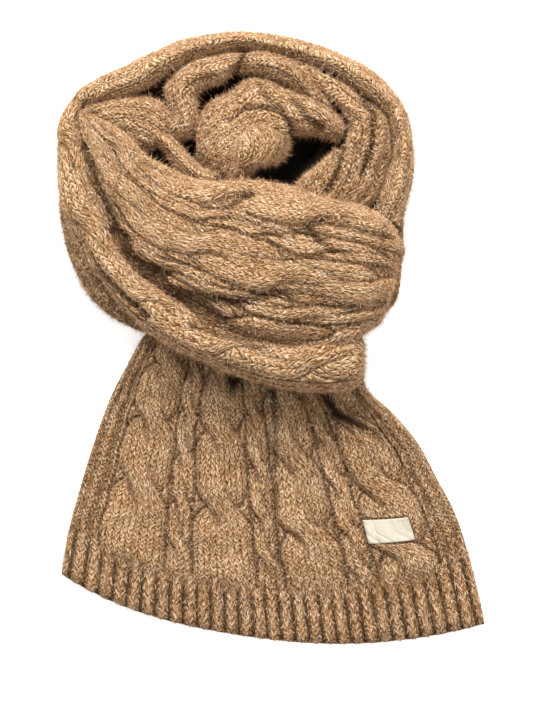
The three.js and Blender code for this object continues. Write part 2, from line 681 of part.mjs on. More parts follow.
function pitSolid(outline) {
  const shape = new THREE.Shape(outline.map(([x, y]) => new THREE.Vector2(x, y)));
  const block = new THREE.ExtrudeGeometry(shape, { depth: 60, bevelEnabled: false });
  block.translate(0, 0, PIT_FLOOR);
  block.deleteAttribute("normal");
  block.deleteAttribute("uv");
  const merged = mergeVertices(block, 1e-4);
  return closedSolid([...merged.attributes.position.array], [...merged.index.array]);
}

// The largest body of what a cut leaves, without its smallest faces.
function mainBody(solid) {
  const bodies = solid.simplify(SMOOTHED).decompose();
  return bodies.sort((a, b) => b.volume() - a.volume())[0];
}

function meshOf(solid, name, finish) {
  const { vertProperties, triVerts } = solid.getMesh();
  const geometry = new THREE.BufferGeometry()
    .setAttribute("position", new THREE.BufferAttribute(vertProperties, 3))
    .setIndex(new THREE.BufferAttribute(triVerts, 1));
  geometry.computeVertexNormals();
  const mesh = new THREE.Mesh(geometry, new THREE.MeshStandardMaterial(finish));
  mesh.name = name;
  return mesh;
}

const scarf = new THREE.Group();

// Each stretch gives way to those that lie on it.
const clearances = STRETCHES.map(clearance);
const union = (solids) => solids.reduce((sum, solid) => sum.add(solid));
STRETCHES.forEach((stretch, i) => {
  let solid = stretchSolid(stretch);
  if (i) solid = solid.subtract(union(clearances.slice(0, i)));
  scarf.add(meshOf(mainBody(solid), stretch.name, YARN));
});

const tailWhole = tailSolid(0, HEM_FROM - (2 * SEAM) / TAIL_LENGTH, TAIL.along, "knit", 0);
const tail = tailWhole.subtract(union([...clearances, labelSolid(SEAM, 8)]));
scarf.add(meshOf(mainBody(tail), "tail_panel", YARN));
scarf.add(meshOf(tailSolid(HEM_FROM, 1, 3, "hem", 0), "hem_rib", YARN));
scarf.add(meshOf(labelSolid(0, 0), "label", CREAM));

// The hidden layers fill the walls on them, but for the pits and for what else lies there.
const tailClearance = tailSolid(0, 0.5, 14, "even", 2 * SEAM);
let layers = layersSolid();
STRETCHES.forEach((stretch, i) => {
  if (stretch.filled === undefined) return;
  const others = clearances.filter((_, k) => k !== i);
  layers = layers.add(filling(stretch).subtract(union([...others, tailClearance])));
});
layers = layers.subtract(union([tailClearance, ...PITS.map(pitSolid)]));
scarf.add(meshOf(mainBody(layers), "wound_layers", YARN));

export default scarf;
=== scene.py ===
# %% [markdown]
# # A cable knit scarf, wound into a loop and laid flat
#
# The real scarf is one long knitted panel with cables down its length, ribs at its sides and a
# deep rib at each end. It is wound into a loop, laid on a table and seen from straight above.
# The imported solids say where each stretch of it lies. This lesson works the same stretches out
# again on fine grids, knits them stitch by stitch, and covers them with loose brushed fibres.

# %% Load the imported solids
import bpy
import numpy as np
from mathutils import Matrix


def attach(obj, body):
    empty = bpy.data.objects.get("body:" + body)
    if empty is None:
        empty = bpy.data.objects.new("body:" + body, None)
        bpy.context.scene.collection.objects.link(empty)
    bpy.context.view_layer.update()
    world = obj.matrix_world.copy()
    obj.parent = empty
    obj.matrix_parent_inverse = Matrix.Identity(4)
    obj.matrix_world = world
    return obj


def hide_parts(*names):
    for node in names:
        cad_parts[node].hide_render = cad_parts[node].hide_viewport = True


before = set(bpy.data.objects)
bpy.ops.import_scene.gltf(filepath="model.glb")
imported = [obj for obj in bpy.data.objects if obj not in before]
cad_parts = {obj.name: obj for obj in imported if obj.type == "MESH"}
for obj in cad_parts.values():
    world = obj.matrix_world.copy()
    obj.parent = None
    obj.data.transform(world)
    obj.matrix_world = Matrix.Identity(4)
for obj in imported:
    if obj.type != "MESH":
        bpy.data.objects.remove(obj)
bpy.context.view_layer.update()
scene = bpy.context.scene

# %% [markdown]
# ## The sizes that drive the knit
#
# Lengths are in millimetres while a shape is worked out, and become metres when a mesh is made.
# One knit stitch is 4.65 mm wide and 3.3 mm high, so a rib of one knit and one purl stitch is
# 9.3 mm. The slope of a leg is counted in rows climbed for each column crossed.

# %% Sizes
MM = 0.001
STITCH_WIDE = 4.65
STITCH_HIGH = 3.3
STITCH_RISE = 0.45
LEG_SLOPE = 1.8
GRID = 0.92
CLOTH = 5.5
ROLLED = 3
RIB_PITCH = 2 * STITCH_WIDE
RIB_RISE = 1.6
HEM_RISE = 2.4
EDGE_RIBS = 19.5
GUTTER = 1
PULL = 0.7
LUMP = 0.5
FADE_IN = 8
END_FADE = (-3, 14)
WANDER_ASIDE = 1.3
WANDER_ALONG = 1.6

# %% [markdown]
# ## Smooth curves through short tables
#
# A stretch of cloth is described by a few sections, one in each row of a table. A cubic that passes
# through every row and leaves it in the direction of its neighbours turns the rows into a smooth
# surface. It could also be a lofted curve object, but a formula gives every point of the grid at
# once.


# %% Curves and sections
def table_curves(names, rows, u):
    """Each column as a cubic through its rows: at share u of the way from the first to the last."""
    table = np.array(rows, float)
    last = len(rows) - 1
    place = np.clip(u, 0, 1) * last
    i = np.minimum(np.floor(place).astype(int), last - 1)
    f = (place - i)[..., None]
    before, a, b, after = (table[np.clip(i + k, 0, last)] for k in (-1, 0, 1, 2))
    bend = (2 * before - 5 * a + 4 * b - after) * f**2 + (3 * a - before - 3 * b + after) * f**3
    values = 0.5 * (2 * a + (b - before) * f + bend)
    return {name: values[..., c] for c, name in enumerate(names)}


def smooth_step(x, low, high):
    """0 below low and 1 above high, with a level start and end: t*t*(3 - 2t)."""
    t = np.clip((x - low) / (high - low), 0, 1)
    return t * t * (3 - 2 * t)


def crown(q, full):
    """Height of a section across it: (1 - |q|^full)^(1/full), 1 on the crest, 0 at both edges."""
    return np.maximum(0, 1 - np.abs(q) ** full) ** (1 / full)


def crowded(w):
    """A tenth of w and nine tenths of sin(w * 90 degrees): points crowd at the steep edges."""
    return 0.1 * w + 0.9 * np.sin(np.pi / 2 * w)


SECTION = ["ax", "ay", "bx", "by", "az", "bz", "top"]


def section_rows(stretch):
    """Rows of a stretch's table, each with its two edges' heights put in where base states them."""
    if "base" not in stretch:
        return stretch["rows"]
    return [[*plan, stretch["base"], stretch["base"], top] for *plan, top in stretch["rows"]]


def section_grid(rows, u, q, full, inset):
    """Points of a stretch: edge a to edge b in plan, drawn in by inset, raised by the crown."""
    c = {name: value[:, None] for name, value in table_curves(SECTION, rows, u).items()}
    half = np.hypot(c["bx"] - c["ax"], c["by"] - c["ay"]) / 2
    f = (q[None, :] * np.maximum(0.25, 1 - inset / half) + 1) / 2
    base = c["az"] + (c["bz"] - c["az"]) * f
    rise = np.maximum(1, c["top"] - inset - base)
    x = c["ax"] + (c["bx"] - c["ax"]) * f
    y = c["ay"] + (c["by"] - c["ay"]) * f
    return np.stack([x, y, base + rise * crown(q, full)[None, :]], axis=-1)


def unit(vectors):
    """Each vector divided by its length."""
    return vectors / np.maximum(np.linalg.norm(vectors, axis=-1, keepdims=True), 1e-9)


def grid_normals(points):
    """Unit normals of a grid: the cross product of its slopes across and along."""
    along, across = np.gradient(points, axis=(0, 1))
    return unit(np.cross(across, along))


def running_length(points, axis):
    """Length walked along one axis of a grid, from 0 at its first point."""
    steps = np.linalg.norm(np.diff(points, axis=axis), axis=-1)
    first = np.zeros_like(np.take(steps, [0], axis=axis))
    return np.concatenate([first, np.cumsum(steps, axis=axis)], axis=axis)


# %% [markdown]
# ## The knit, column by column
#
# Across its 280 mm the scarf has ribs, four wide cables and three narrow ropes. A cable is two
# strands that change sides. The strand that crosses on top hides the other and leaves a dark line
# along its edge. The two strands melt together where they lie side by side, and the purl ground
# beside a crossing is a little lower. Each strand carries its own stitches with it, so the stitch
# coordinate is counted from the middle of whichever strand shows. Near the hem a cable no longer
# turns: calm is how far up its strands still lie side by side.

# %% Columns
CABLE = {"width": 44, "rise": 4.2, "half_twist": 42}
ROPE = {"width": 19, "rise": 3, "half_twist": 28}
LINE_DEPTH = 2.2
LINE_FROM_EDGE = 0.4
LINE_WIDE = 1.2
OVER_RISE = 0.3
GROUND = 0.6
GROUND_EDGE = (0.4, 2.6)
STRAND = 0.29
APART = 100
COLUMNS = []
filled = 0
for kind, phase, calm in [
    ("rib", 0, 0), ("cable", 0.77, 51.5), ("rope", 0.02, 27.4), ("cable", 0.8, 50.5),
    ("rope", 0.02, 27.4), ("cable", 0.07, 39.2), ("rope", 0.45, 15.4), ("cable", 0.62, 16),
    ("rib", 0, 0),
]:
    width = {"rib": EDGE_RIBS, "cable": CABLE["width"], "rope": ROPE["width"]}[kind]
    COLUMNS.append({"kind": kind, "start": filled, "width": width, "phase": phase, "calm": calm})
    filled += width + GUTTER
SCARF_WIDTH = filled - GUTTER
print("the panel is", SCARF_WIDTH, "mm wide in", len(COLUMNS), "columns")


def leg_place(column, row):
    """Place beside the stitch's middle, from -0.5 to 0.5, and share of the way across the leg."""
    aside = column - np.floor(column) - 0.5
    leg = row - LEG_SLOPE * np.abs(aside)
    return aside, leg - np.floor(leg)


def stitch_height(column, row):
    """One V for each stitch: its legs climb from its middle, with height 4 leg (1 - leg) across."""
    aside, leg = leg_place(column, row)
    return 4 * leg * (1 - leg) * (1 - (2 * np.abs(aside)) ** 4)


def ribs(place, pitch=RIB_PITCH):
    """Ribs one pitch apart: |cos(pi place / pitch)|, 1 on a rib and 0 in the groove beside it."""
    return np.abs(np.cos(np.pi * place / pitch))


def knit(place, distance):
    """Height in mm, and the stitch's column and row, at a place across and a distance along."""
    height = np.zeros_like(place)
    column = place / STITCH_WIDE
    for part in COLUMNS:
        x = place - part["start"] - part["width"] / 2
        inside = np.abs(x) <= part["width"] / 2
        if part["kind"] == "rib":
            height = np.where(inside, RIB_RISE * ribs(x), height)
            column = np.where(inside, x / STITCH_WIDE + 0.5, column)
            continue
        size = CABLE if part["kind"] == "cable" else ROPE
        turn = np.pi * (np.maximum(distance, part["calm"]) / size["half_twist"] + part["phase"])
        radius = STRAND * size["width"]
        swing = (size["width"] / 2 - radius) * np.tanh(2 * np.cos(turn))
        strands, offs = [], []
        for side in (1, -1):
            off = (x - side * swing) / radius
            over = 1 + OVER_RISE * side * np.sin(turn)
            strands.append(size["rise"] * over * np.sqrt(np.maximum(0, 1 - off**4)))
            offs.append(off)
        one, other = strands
        first = np.sin(turn) > 0
        past_edge = radius * (np.abs(np.where(first, offs[0], offs[1])) - 1)
        beneath = smooth_step(np.where(first, other, one), 0.2, 2) * np.abs(np.sin(turn))
        line = LINE_DEPTH * beneath * np.exp(-(((past_edge - LINE_FROM_EDGE) / LINE_WIDE) ** 2))
        gap = radius * (np.minimum(np.abs(offs[0]), np.abs(offs[1])) - 1)
        ground = GROUND * size["rise"] * smooth_step(gap, *GROUND_EDGE)
        both = np.maximum((one**4 + other**4) ** 0.25 - line, ground)
        height = np.where(inside, both, height)
        columns = [off * radius / STITCH_WIDE for off in offs]
        shown = np.where(one > other, columns[0] + APART, columns[1] - APART)
        column = np.where(inside, shown, column)
    return height, column, distance / STITCH_HIGH


def plain_rib(place, distance):
    """Knit and purl ribs all the way across: their height, and the stitch's column and row."""
    return RIB_RISE * ribs(place), place / STITCH_WIDE + 0.5, distance / STITCH_HIGH


# %% [markdown]
# ## Creases, lumps and the slack of soft cloth
#
# Soft wool is never a perfect surface. Each main crease is a line in plan that presses the cloth in
# along a soft valley, deepest on the line. A few slow waves in different directions add the small
# lumps of a hand-laid scarf. A cloth simulation could find its own folds, but not these ones.


# %% Creases and lumps
WAVES = 9


def to_segment(x, y, start, end):
    """Share of the way from start to end at which x, y is nearest, and how far off it is there."""
    (x0, y0), (x1, y1) = start, end
    dx, dy = x1 - x0, y1 - y0
    f = np.clip(((x - x0) * dx + (y - y0) * dy) / (dx * dx + dy * dy), 0, 1)
    return f, np.hypot(x - x0 - f * dx, y - y0 - f * dy)


def crease_depth(creases, x, y):
    """Sum of the valleys: depth * exp(-(distance to the line / width) squared)."""
    total = np.zeros_like(x)
    for line, depth, width in creases:
        nearest = np.full_like(x, np.inf)
        share = np.zeros_like(x)
        for i, (start, end) in enumerate(zip(line, line[1:])):
            f, far = to_segment(x, y, start, end)
            share = np.where(far < nearest, (i + f) / (len(line) - 1), share)
            nearest = np.minimum(far, nearest)
        deep = depth[0] + (depth[1] - depth[0]) * share
        total += deep * np.exp(-((nearest / width) ** 2))
    return total


def lumps(points, seed=3):
    """Sum of seeded sine waves, 14 to 45 mm long, over the square root of their number."""
    rng = np.random.default_rng(seed)
    total = np.zeros(points.shape[:-1])
    for _ in range(WAVES):
        way = rng.normal(size=3)
        way *= 2 * np.pi / rng.uniform(14, 45) / np.linalg.norm(way)
        total += np.sin(points @ way + rng.uniform(0, 6.3))
    return total / np.sqrt(WAVES)


CREASES = {
    "front_band": [
        ([[-45, 79], [-30, 81], [-14, 88]], [1.5, 3], 3.5),
        ([[-28, 75], [-10, 69], [6, 64], [16, 66], [30, 72], [43, 69], [69, 62]], [2, 3], 3.5),
        ([[23, 65], [38, 54], [52, 52]], [3, 1.5], 3.5),
        ([[9, 50], [30, 43], [43, 36]], [2, 2], 3.5),
        ([[-59, 28], [-18, 24], [1, 28], [21, 29], [49, 20]], [3.5, 2], 4.5),
        ([[-69, 39], [-43, 49]], [2, 1], 3.5),
        ([[-122, 137], [-120, 127], [-117, 118]], [1.5, 2.6], 2.8),
        ([[-117, 118], [-111, 101], [-104, 84], [-96, 66], [-88, 51], [-75, 40]], [2.6, 4], 4),
        ([[-75, 40], [-60, 31], [-46, 22], [-29, 13], [-9, 5], [14, 1]], [4, 1.5], 3.8),
        ([[-99, 66], [-88, 63], [-78, 60]], [3.5, 0.5], 3),
        ([[-80, 44], [-66, 45], [-52, 48]], [2.5, 0.5], 3),
    ],
    "lower_band": [
        ([[-50, 8], [-24, -1], [23, -21]], [3, 1.5], 3.5),
        ([[-126, 96], [-124, 77], [-116, 57], [-106, 42], [-92, 27], [-78, 14]], [1, 4.5], 2.6),
    ],
    "core_fold": [
        ([[-27, 136], [-19, 143], [-8, 145], [5, 142.5], [12, 133], [13, 122]], [2.5, 4], 2.4),
        ([[-8, 160], [-2, 150], [6, 144]], [2, 3], 3),
        ([[14, 150], [22, 138], [30, 132]], [2.5, 3], 4),
    ],
    "inner_roll": [([[-15.5, 184], [-24, 164]], [3.5, 4], 2.2)],
    "inner_back_roll": [([[-15.5, 184], [-25, 163]], [3.5, 4], 2.2)],
    "inner_right": [
        ([[32, 169], [46, 161], [57, 152], [64, 141], [63, 120], [57, 103]], [3.5, 3.5], 2.6),
        ([[30, 154], [41, 144], [47, 132], [45, 122], [40, 100], [35, 92]], [3.5, 3], 2.6),
    ],
    "tail_panel": [
        ([[30, -28], [40, -47], [67, -61], [78, -72], [86, -90]], [6, 1], 4.5),
        ([[48, -28], [70, -44], [92, -70], [108, -104]], [-7, -1], 9),
        ([[-24, -20], [-26, -42]], [7, 1], 6),
        ([[0, -20], [2, -60], [4, -165]], [4, 1.5], 3.5),
    ],
}

# %% [markdown]
# ## The stretches of the loop
#
# Each stretch has a table of sections: its two edges in plan, the height of each edge, and of its
# crest. Where both edges stand at one height all along, base says so and the rows leave it out.
# wall is the cloth's thickness, full how square the crown is, and round how far each end rounds
# off. knit says whether ribs or cables show, where their rows start, how strongly they stand out,
# and for cables which part of the scarf's width runs from edge a to b.

# %% Stretch tables
USUAL = {"wall": CLOTH, "full": 2, "round": (0, 0)}
STRETCHES = {
    "lower_band": {
        "full": 2.2, "knit": ("cables", 147, 0.6, 212, 284), "round": (0, 14),
        "rows": [
            [-119, 152, -128, 147, 19, 18.4, 32], [-124, 137, -133, 132, 26, 18.4, 40],
            [-121, 119, -133.8, 115, 28, 18.4, 44], [-115.5, 101, -133, 96, 30, 18.4, 46],
            [-108.5, 83, -131, 80, 31, 20, 49], [-101, 65, -123, 60, 31, 24, 51],
            [-93, 49, -114, 44, 31, 25, 52.5], [-80, 37, -102, 29, 31, 25, 54],
            [-65, 27, -90, 15, 31, 26, 55], [-50, 18, -74, 2, 31, 29, 56],
            [-32, 9, -53, -10, 31, 31, 57.5], [-10, 1, -30, -20, 31, 31, 58.5],
            [14, -3, 2, -30, 31, 31, 58], [36, -1, 30, -33, 31, 31, 56],
            [53, 0.5, 50, -32, 31, 29, 49], [58, -4, 58, -25, 31, 29, 38],
        ],
    },
    "front_band": {
        "full": 2.7, "knit": ("cables", 160, 1.15, -20, 205), "round": (0, 10),
        "rows": [
            [-120, 144, -124, 134, 19, 26, 38], [-108, 138, -121, 114, 19, 28, 46],
            [-93, 130, -115, 95, 19, 30, 52], [-78, 112.5, -108, 75, 19, 30, 57],
            [-57, 101, -97, 54, 19, 30, 61], [-34, 97, -79, 36, 19, 30, 65],
            [-14, 98, -56, 21, 19, 30, 68], [10, 95, -32, 8, 19, 30, 70],
            [34, 88, -4, -1, 19, 30, 69], [57, 82, 24, -4, 19, 30, 66],
            [70.5, 75.5, 45, -1, 19, 28, 60], [78, 63, 60, 9, 19, 22, 50],
            [79, 50, 74, 23, 19, 19, 36],
        ],
    },
    "top_rim": {
        "knit": ("rib", 0, 0.5),
        "rows": [
            [-129, 145, -121, 146, 19, 19, 28], [-121, 155, -112, 148, 18.4, 18.4, 34],
            [-108, 164, -97, 151, 18.4, 18.4, 38], [-92, 171, -80, 156, 18.4, 18.4, 40],
            [-74, 180, -65, 167, 18.4, 18.4, 41], [-50, 189, -44, 177.5, 18.4, 18.4, 42],
            [-18, 192.5, -17, 182, 18.4, 18.4, 42], [14, 188.5, 11, 177, 18.4, 18.4, 42],
            [47, 176.5, 38, 166.5, 18.4, 18.4, 42], [70, 162, 59, 152, 18.4, 18.4, 42],
            [83, 143.5, 73, 139, 18.4, 18.4, 42], [88, 121, 77, 120, 18.4, 18.4, 42],
            [88, 103, 74, 107, 18.4, 18.4, 41], [84.5, 85, 69, 93, 18.4, 18.4, 39],
            [81, 70, 64, 82, 18.4, 18.4, 34],
        ],
    },
    "core_nose": {
        "full": 2.3, "knit": ("rib", 0, 0.3),
        "rows": [
            [4, 142, -19, 140, 30, 30, 42], [9.5, 132, -25, 131, 20, 26, 53],
            [10.5, 120, -28, 120, 18.4, 24, 57], [5, 111, -28, 109, 18.4, 22, 55],
            [-12.5, 108, -28, 103, 18.4, 21, 51], [-15.5, 99, -26, 95, 18.4, 20, 45],
        ],
    },
    "inner_roll": {
        "base": 19, "wall": ROLLED, "knit": ("rib", 0, 0.6),
        "rows": [
            [-70, 137, -65, 124, 38], [-64, 139, -54, 126, 41], [-62.5, 143, -46, 133, 43],
            [-65, 150, -47, 145, 45], [-66, 159, -48, 151, 45], [-59, 168, -44, 156, 45],
            [-48, 174.5, -38, 158.5, 46], [-34, 178, -33, 160, 46], [-15.5, 181, -23.5, 166.5, 41],
        ],
    },
    "inner_back_roll": {
        "base": 19, "wall": ROLLED, "knit": ("rib", 0, 0.6), "round": (0, 4),
        "rows": [
            [-16.5, 180.5, -25, 166, 41], [-4, 180.5, -10, 165.5, 45], [8, 177, 3, 162, 46],
            [21, 168, 13, 155, 46], [30, 156, 24, 150, 44], [38, 146, 35, 142, 38],
        ],
    },
    "thin_strip": {
        "base": 19, "wall": ROLLED, "knit": ("rib", 0, 0.4), "round": (4, 4),
        "rows": [
            [-77, 135, -80, 127, 40], [-69, 133, -74, 123, 43], [-61, 125, -68, 117, 45],
            [-54, 116, -62, 109, 46], [-44, 108, -54, 100, 46], [-31, 104, -38, 93, 44],
        ],
    },
    "core_fold": {
        "base": 18.4, "full": 2.3, "knit": ("rib", 0, 0.25),
        "rows": [
            [-48, 133, -47, 114, 34], [-43, 144, -42, 105, 41], [-35, 151, -34, 99, 45],
            [-25, 156, -24, 96, 48], [-17, 163, -16.5, 98, 50], [-8, 166, -7, 112, 51],
            [7, 160, 7, 118, 51], [20, 155, 17, 128, 49], [33, 148, 29, 127, 47],
            [43, 139, 38, 125, 43], [46, 132, 43, 123, 34],
        ],
    },
    "inner_right": {
        "base": 18.4, "full": 2.3, "knit": ("rib", 0, 0.9),
        "rows": [
            [10, 178, 8, 170, 30], [26, 171, 22, 161, 38], [38, 166, 30, 153, 42],
            [51, 158, 38, 146, 44], [61, 150, 45, 138, 45], [69, 142, 48, 129, 45],
            [73, 132, 41, 119, 44], [75, 119, 30, 109, 42], [72, 106, 20, 100, 40],
            [67, 92, 12, 92, 38], [61, 82, 9, 84, 36],
        ],
    },
    "inner_left": {
        "base": 18.4, "full": 2.2, "knit": ("rib", 0, 0.35),
        "rows": [
            [-117, 147, -119, 140, 32], [-105, 150, -107, 133, 38], [-90, 152, -93, 124, 42],
            [-76, 151, -81, 117, 43], [-66, 144, -70, 122, 42], [-58, 137, -62, 127, 36],
        ],
    },
    "left_outer": {
        "base": 18.4, "knit": ("rib", 0, 0.8),
        "rows": [
            [-127, 94, -133, 94, 26], [-116, 76, -132.5, 75, 32], [-107, 57, -128, 57, 36],
            [-98, 42, -121, 38, 37], [-87, 30, -112, 24, 36], [-76, 20, -99, 13, 33],
            [-66, 12, -81, 4, 28],
        ],
    },
}

# %% [markdown]
# ## From grids to meshes
#
# The outer grid is fine and the inner one coarse. Laid ring by ring, they close into one thin wall,
# and faces at each end close it. The walls carry two UV maps: "knit" counts stitches across and
# rows along, which the wool finish reads, and "OFBake" spreads the whole ring over one square
# without overlaps, so that the finish can be baked.


# %% Closed walls
FACE_WAYS = [(0, 0), (0, 1), (1, 1), (1, 0)]
SQUARE = np.array([[-1, -1], [1, -1], [1, 1], [-1, 1]])
INNER_PAINTED_LIGHT = 0.4


def put_mesh(name, points, corners, starts, material, maps=(), tone=None):
    """Makes one mesh object from whole arrays: points in mm, face corners, and each face's start.
    Its last argument, from 0 to 1, is how much light reaches each point between its neighbours'
    fibres, painted into the colour as shade where it is low."""
    mesh = bpy.data.meshes.new(name)
    mesh.vertices.add(len(points))
    mesh.vertices.foreach_set("co", (points * MM).astype(np.float32).ravel())
    mesh.loops.add(len(corners))
    mesh.loops.foreach_set("vertex_index", corners.astype(np.int32))
    mesh.polygons.add(len(starts))
    mesh.polygons.foreach_set("loop_start", starts.astype(np.int32))
    for map_name, values in maps:
        layer = mesh.uv_layers.new(name=map_name)
        layer.data.foreach_set("uv", values.astype(np.float32).ravel())
    if tone is not None:
        shades = mesh.attributes.new("tone", "FLOAT", "POINT")
        shades.data.foreach_set("value", tone.astype(np.float32).ravel())
    mesh.update(calc_edges=True)
    mesh.shade_smooth()
    mesh.materials.append(material)
    piece = bpy.data.objects.new(name, mesh)
    scene.collection.objects.link(piece)
    return piece


def ring_faces(count, size):
    """Row and column of every face between count rings of size points, and its four corners."""
    i, j = (a.ravel() for a in np.meshgrid(np.arange(count - 1), np.arange(size), indexing="ij"))
    corners = np.stack([(i + a) * size + (j + b) % size for a, b in FACE_WAYS], axis=1)
    return i, j, corners


def at_corners(i, j, value):
    """One pair of map values for each corner of each face, as value(row, column) gives them."""
    return np.stack([value(i + a, j + b) for a, b in FACE_WAYS], axis=1).reshape(-1, 2)


def stand_for(piece, node=None):
    """The piece rides the scarf's one body, and takes the place of a node where one is named."""
    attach(piece, "root")
    if node:
        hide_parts(node)


def shell(name, outer, inner, stitches, material, tone=None):
    """Rings of the outer grid and back along the inner one: a closed wall with two ends."""
    count, wide = outer.shape[:2]
    size = wide + inner.shape[1]
    rings = np.concatenate([outer, inner[:, ::-1]], axis=1)
    back = np.linspace(0, 1, inner.shape[1] + 2)[1:-1][None, :, None]
    turned = stitches[:, -1:] * (1 - back) + stitches[:, :1] * back
    knit_map = np.concatenate([stitches, turned, stitches[:, :1]], axis=1)
    i, j, corners = ring_faces(count, size)
    spread = at_corners(i, j, lambda a, b: np.stack([b / size * 0.95, a / (count - 1)], axis=-1))
    knitted = at_corners(i, j, lambda a, b: knit_map[a, b])
    step = np.arange(wide - 1)
    across = size - 1 - np.round((step + 0.5) / (wide - 1) * (inner.shape[1] - 1)).astype(int)
    turn = np.flatnonzero(np.diff(across))
    cap = np.concatenate([
        np.stack([step, step + 1, across], axis=1),
        np.stack([turn + 1, across[turn + 1], across[turn]], axis=1),
    ])
    caps, cap_map, cap_knit = [], [], []
    for first, row in [(0, 0), ((count - 1) * size, -1)]:
        p = rings[row]
        flat = np.stack([np.linalg.norm(p[:, :2] - p[0, :2], axis=1), p[:, 2]], axis=1)
        flat = (flat - flat.min(0)) / np.maximum(np.ptp(flat, axis=0), 1)
        corner = cap if row else cap[:, ::-1]
        caps.append((corner + first).ravel())
        cap_map.append((flat * [0.04, 0.48] + [0.955, 0.51 * -row])[corner.ravel()])
        cap_knit.append(knit_map[row, corner.ravel()])
    loops = np.concatenate([corners.ravel(), *caps])
    starts = np.concatenate([np.arange(len(i)) * 4, 4 * len(i) + 3 * np.arange(2 * len(cap))])
    bake_map = np.concatenate([spread, *cap_map])
    knit_uv = np.concatenate([knitted, *cap_knit])
    # Painted shade: the inner side of each wall gets a fixed low light.
    if tone is not None:
        tone = np.concatenate([tone, np.full(inner.shape[:2], INNER_PAINTED_LIGHT)], axis=1)
    return put_mesh(
        name, rings.reshape(-1, 3), loops, starts, material,
        [("OFBake", bake_map), ("knit", knit_uv)], tone,
    )


# %% [markdown]
# ## A finish for brushed wool
#
# The yarn is spun from camel, cream and brown fibres, so a single strand already holds light and
# dark streaks. Each leg of a stitch is a rounded stroke, painted a little lighter on its crest,
# with painted shade in the gaps between, and its streaks run along it. Node maths is written as
# plain
# Python sums by a small class that wraps a socket.


# %% Node sums
class Signal:
    """One output socket. Sums with numbers or other signals add the Math nodes for them."""

    def __init__(self, finish, socket):
        self.finish = finish
        self.socket = socket

    def sum(self, operation, *values):
        return self.finish.node("ShaderNodeMath", {"operation": operation}, dict(enumerate(values)))

    def __add__(self, other):
        return self.sum("ADD", self, other)

    def __sub__(self, other):
        return self.sum("SUBTRACT", self, other)

    def __rsub__(self, other):
        return self.sum("SUBTRACT", other, self)

    def __mul__(self, other):
        return self.sum("MULTIPLY", self, other)

    def __abs__(self):
        return self.sum("ABSOLUTE", self)

    def fraction(self):
        return self.sum("FRACT", self)

    __radd__ = __add__
    __rmul__ = __mul__


class Finish:
    """A material with one Principled shader, and one method that makes every other node."""

    def __init__(self, name):
        self.material = bpy.data.materials.new(name)
        self.material.use_nodes = True
        self.tree = self.material.node_tree
        self.shader = self.tree.nodes["Principled BSDF"]

    def node(self, kind, settings=None, sockets=None, out=0):
        made = self.tree.nodes.new(kind)
        for key, value in (settings or {}).items():
            if key == "stops":
                stops = made.color_ramp.elements
                while len(stops) < len(value):
                    stops.new(1)
                for stop, (place, colour) in zip(stops, value):
                    stop.position = place
                    stop.color = (*colour, 1)
            else:
                setattr(made, key, value)
        for key, value in (sockets or {}).items():
            self.feed(made.inputs[key], value)
        return Signal(self, made.outputs[out])

    def feed(self, socket, value):
        if isinstance(value, Signal):
            self.tree.links.new(value.socket, socket)
        elif isinstance(value, tuple) and len(socket.default_value) == 4:
            socket.default_value = (*value, 1)
        else:
            socket.default_value = value

    def set(self, name, value):
        self.feed(self.shader.inputs[name], value)

    def mix(self, factor, a, b):
        return self.node("ShaderNodeMix", {"data_type": "RGBA"}, {0: factor, 6: a, 7: b}, 2)

    def noise(self, vector, scale, detail=2):
        return self.node(
            "ShaderNodeTexNoise", {}, {"Vector": vector, "Scale": scale, "Detail": detail}
        )

    def vector(self, x, y, z):
        return self.node("ShaderNodeCombineXYZ", {}, {0: x, 1: y, 2: z})

    def parts(self, vector):
        return [self.node("ShaderNodeSeparateXYZ", {}, {0: vector}, k) for k in (0, 1)]

    def bump(self, strength, distance, height):
        values = {"Strength": strength, "Distance": distance, "Height": height}
        return self.node("ShaderNodeBump", {}, values)


# %% The wool
WOOL_DARK = (0.13, 0.058, 0.02)
WOOL_MID = (0.38, 0.205, 0.09)
WOOL_LIGHT = (0.62, 0.39, 0.21)
WOOL_PALE = (0.90, 0.70, 0.47)
# Painted shade in the gaps between the legs of the stitches.
WOOL_GAP_SHADE = (0.07, 0.028, 0.008)
# Painted shade colours: dark brown for grooves and creases, and the next one almost black for the
# pits.
WOOL_SHADE = (0.03, 0.011, 0.003)
WOOL_PIT_SHADOW = (0.003, 0.0015, 0.001)
WARM_SHEEN = (0.95, 0.75, 0.5)


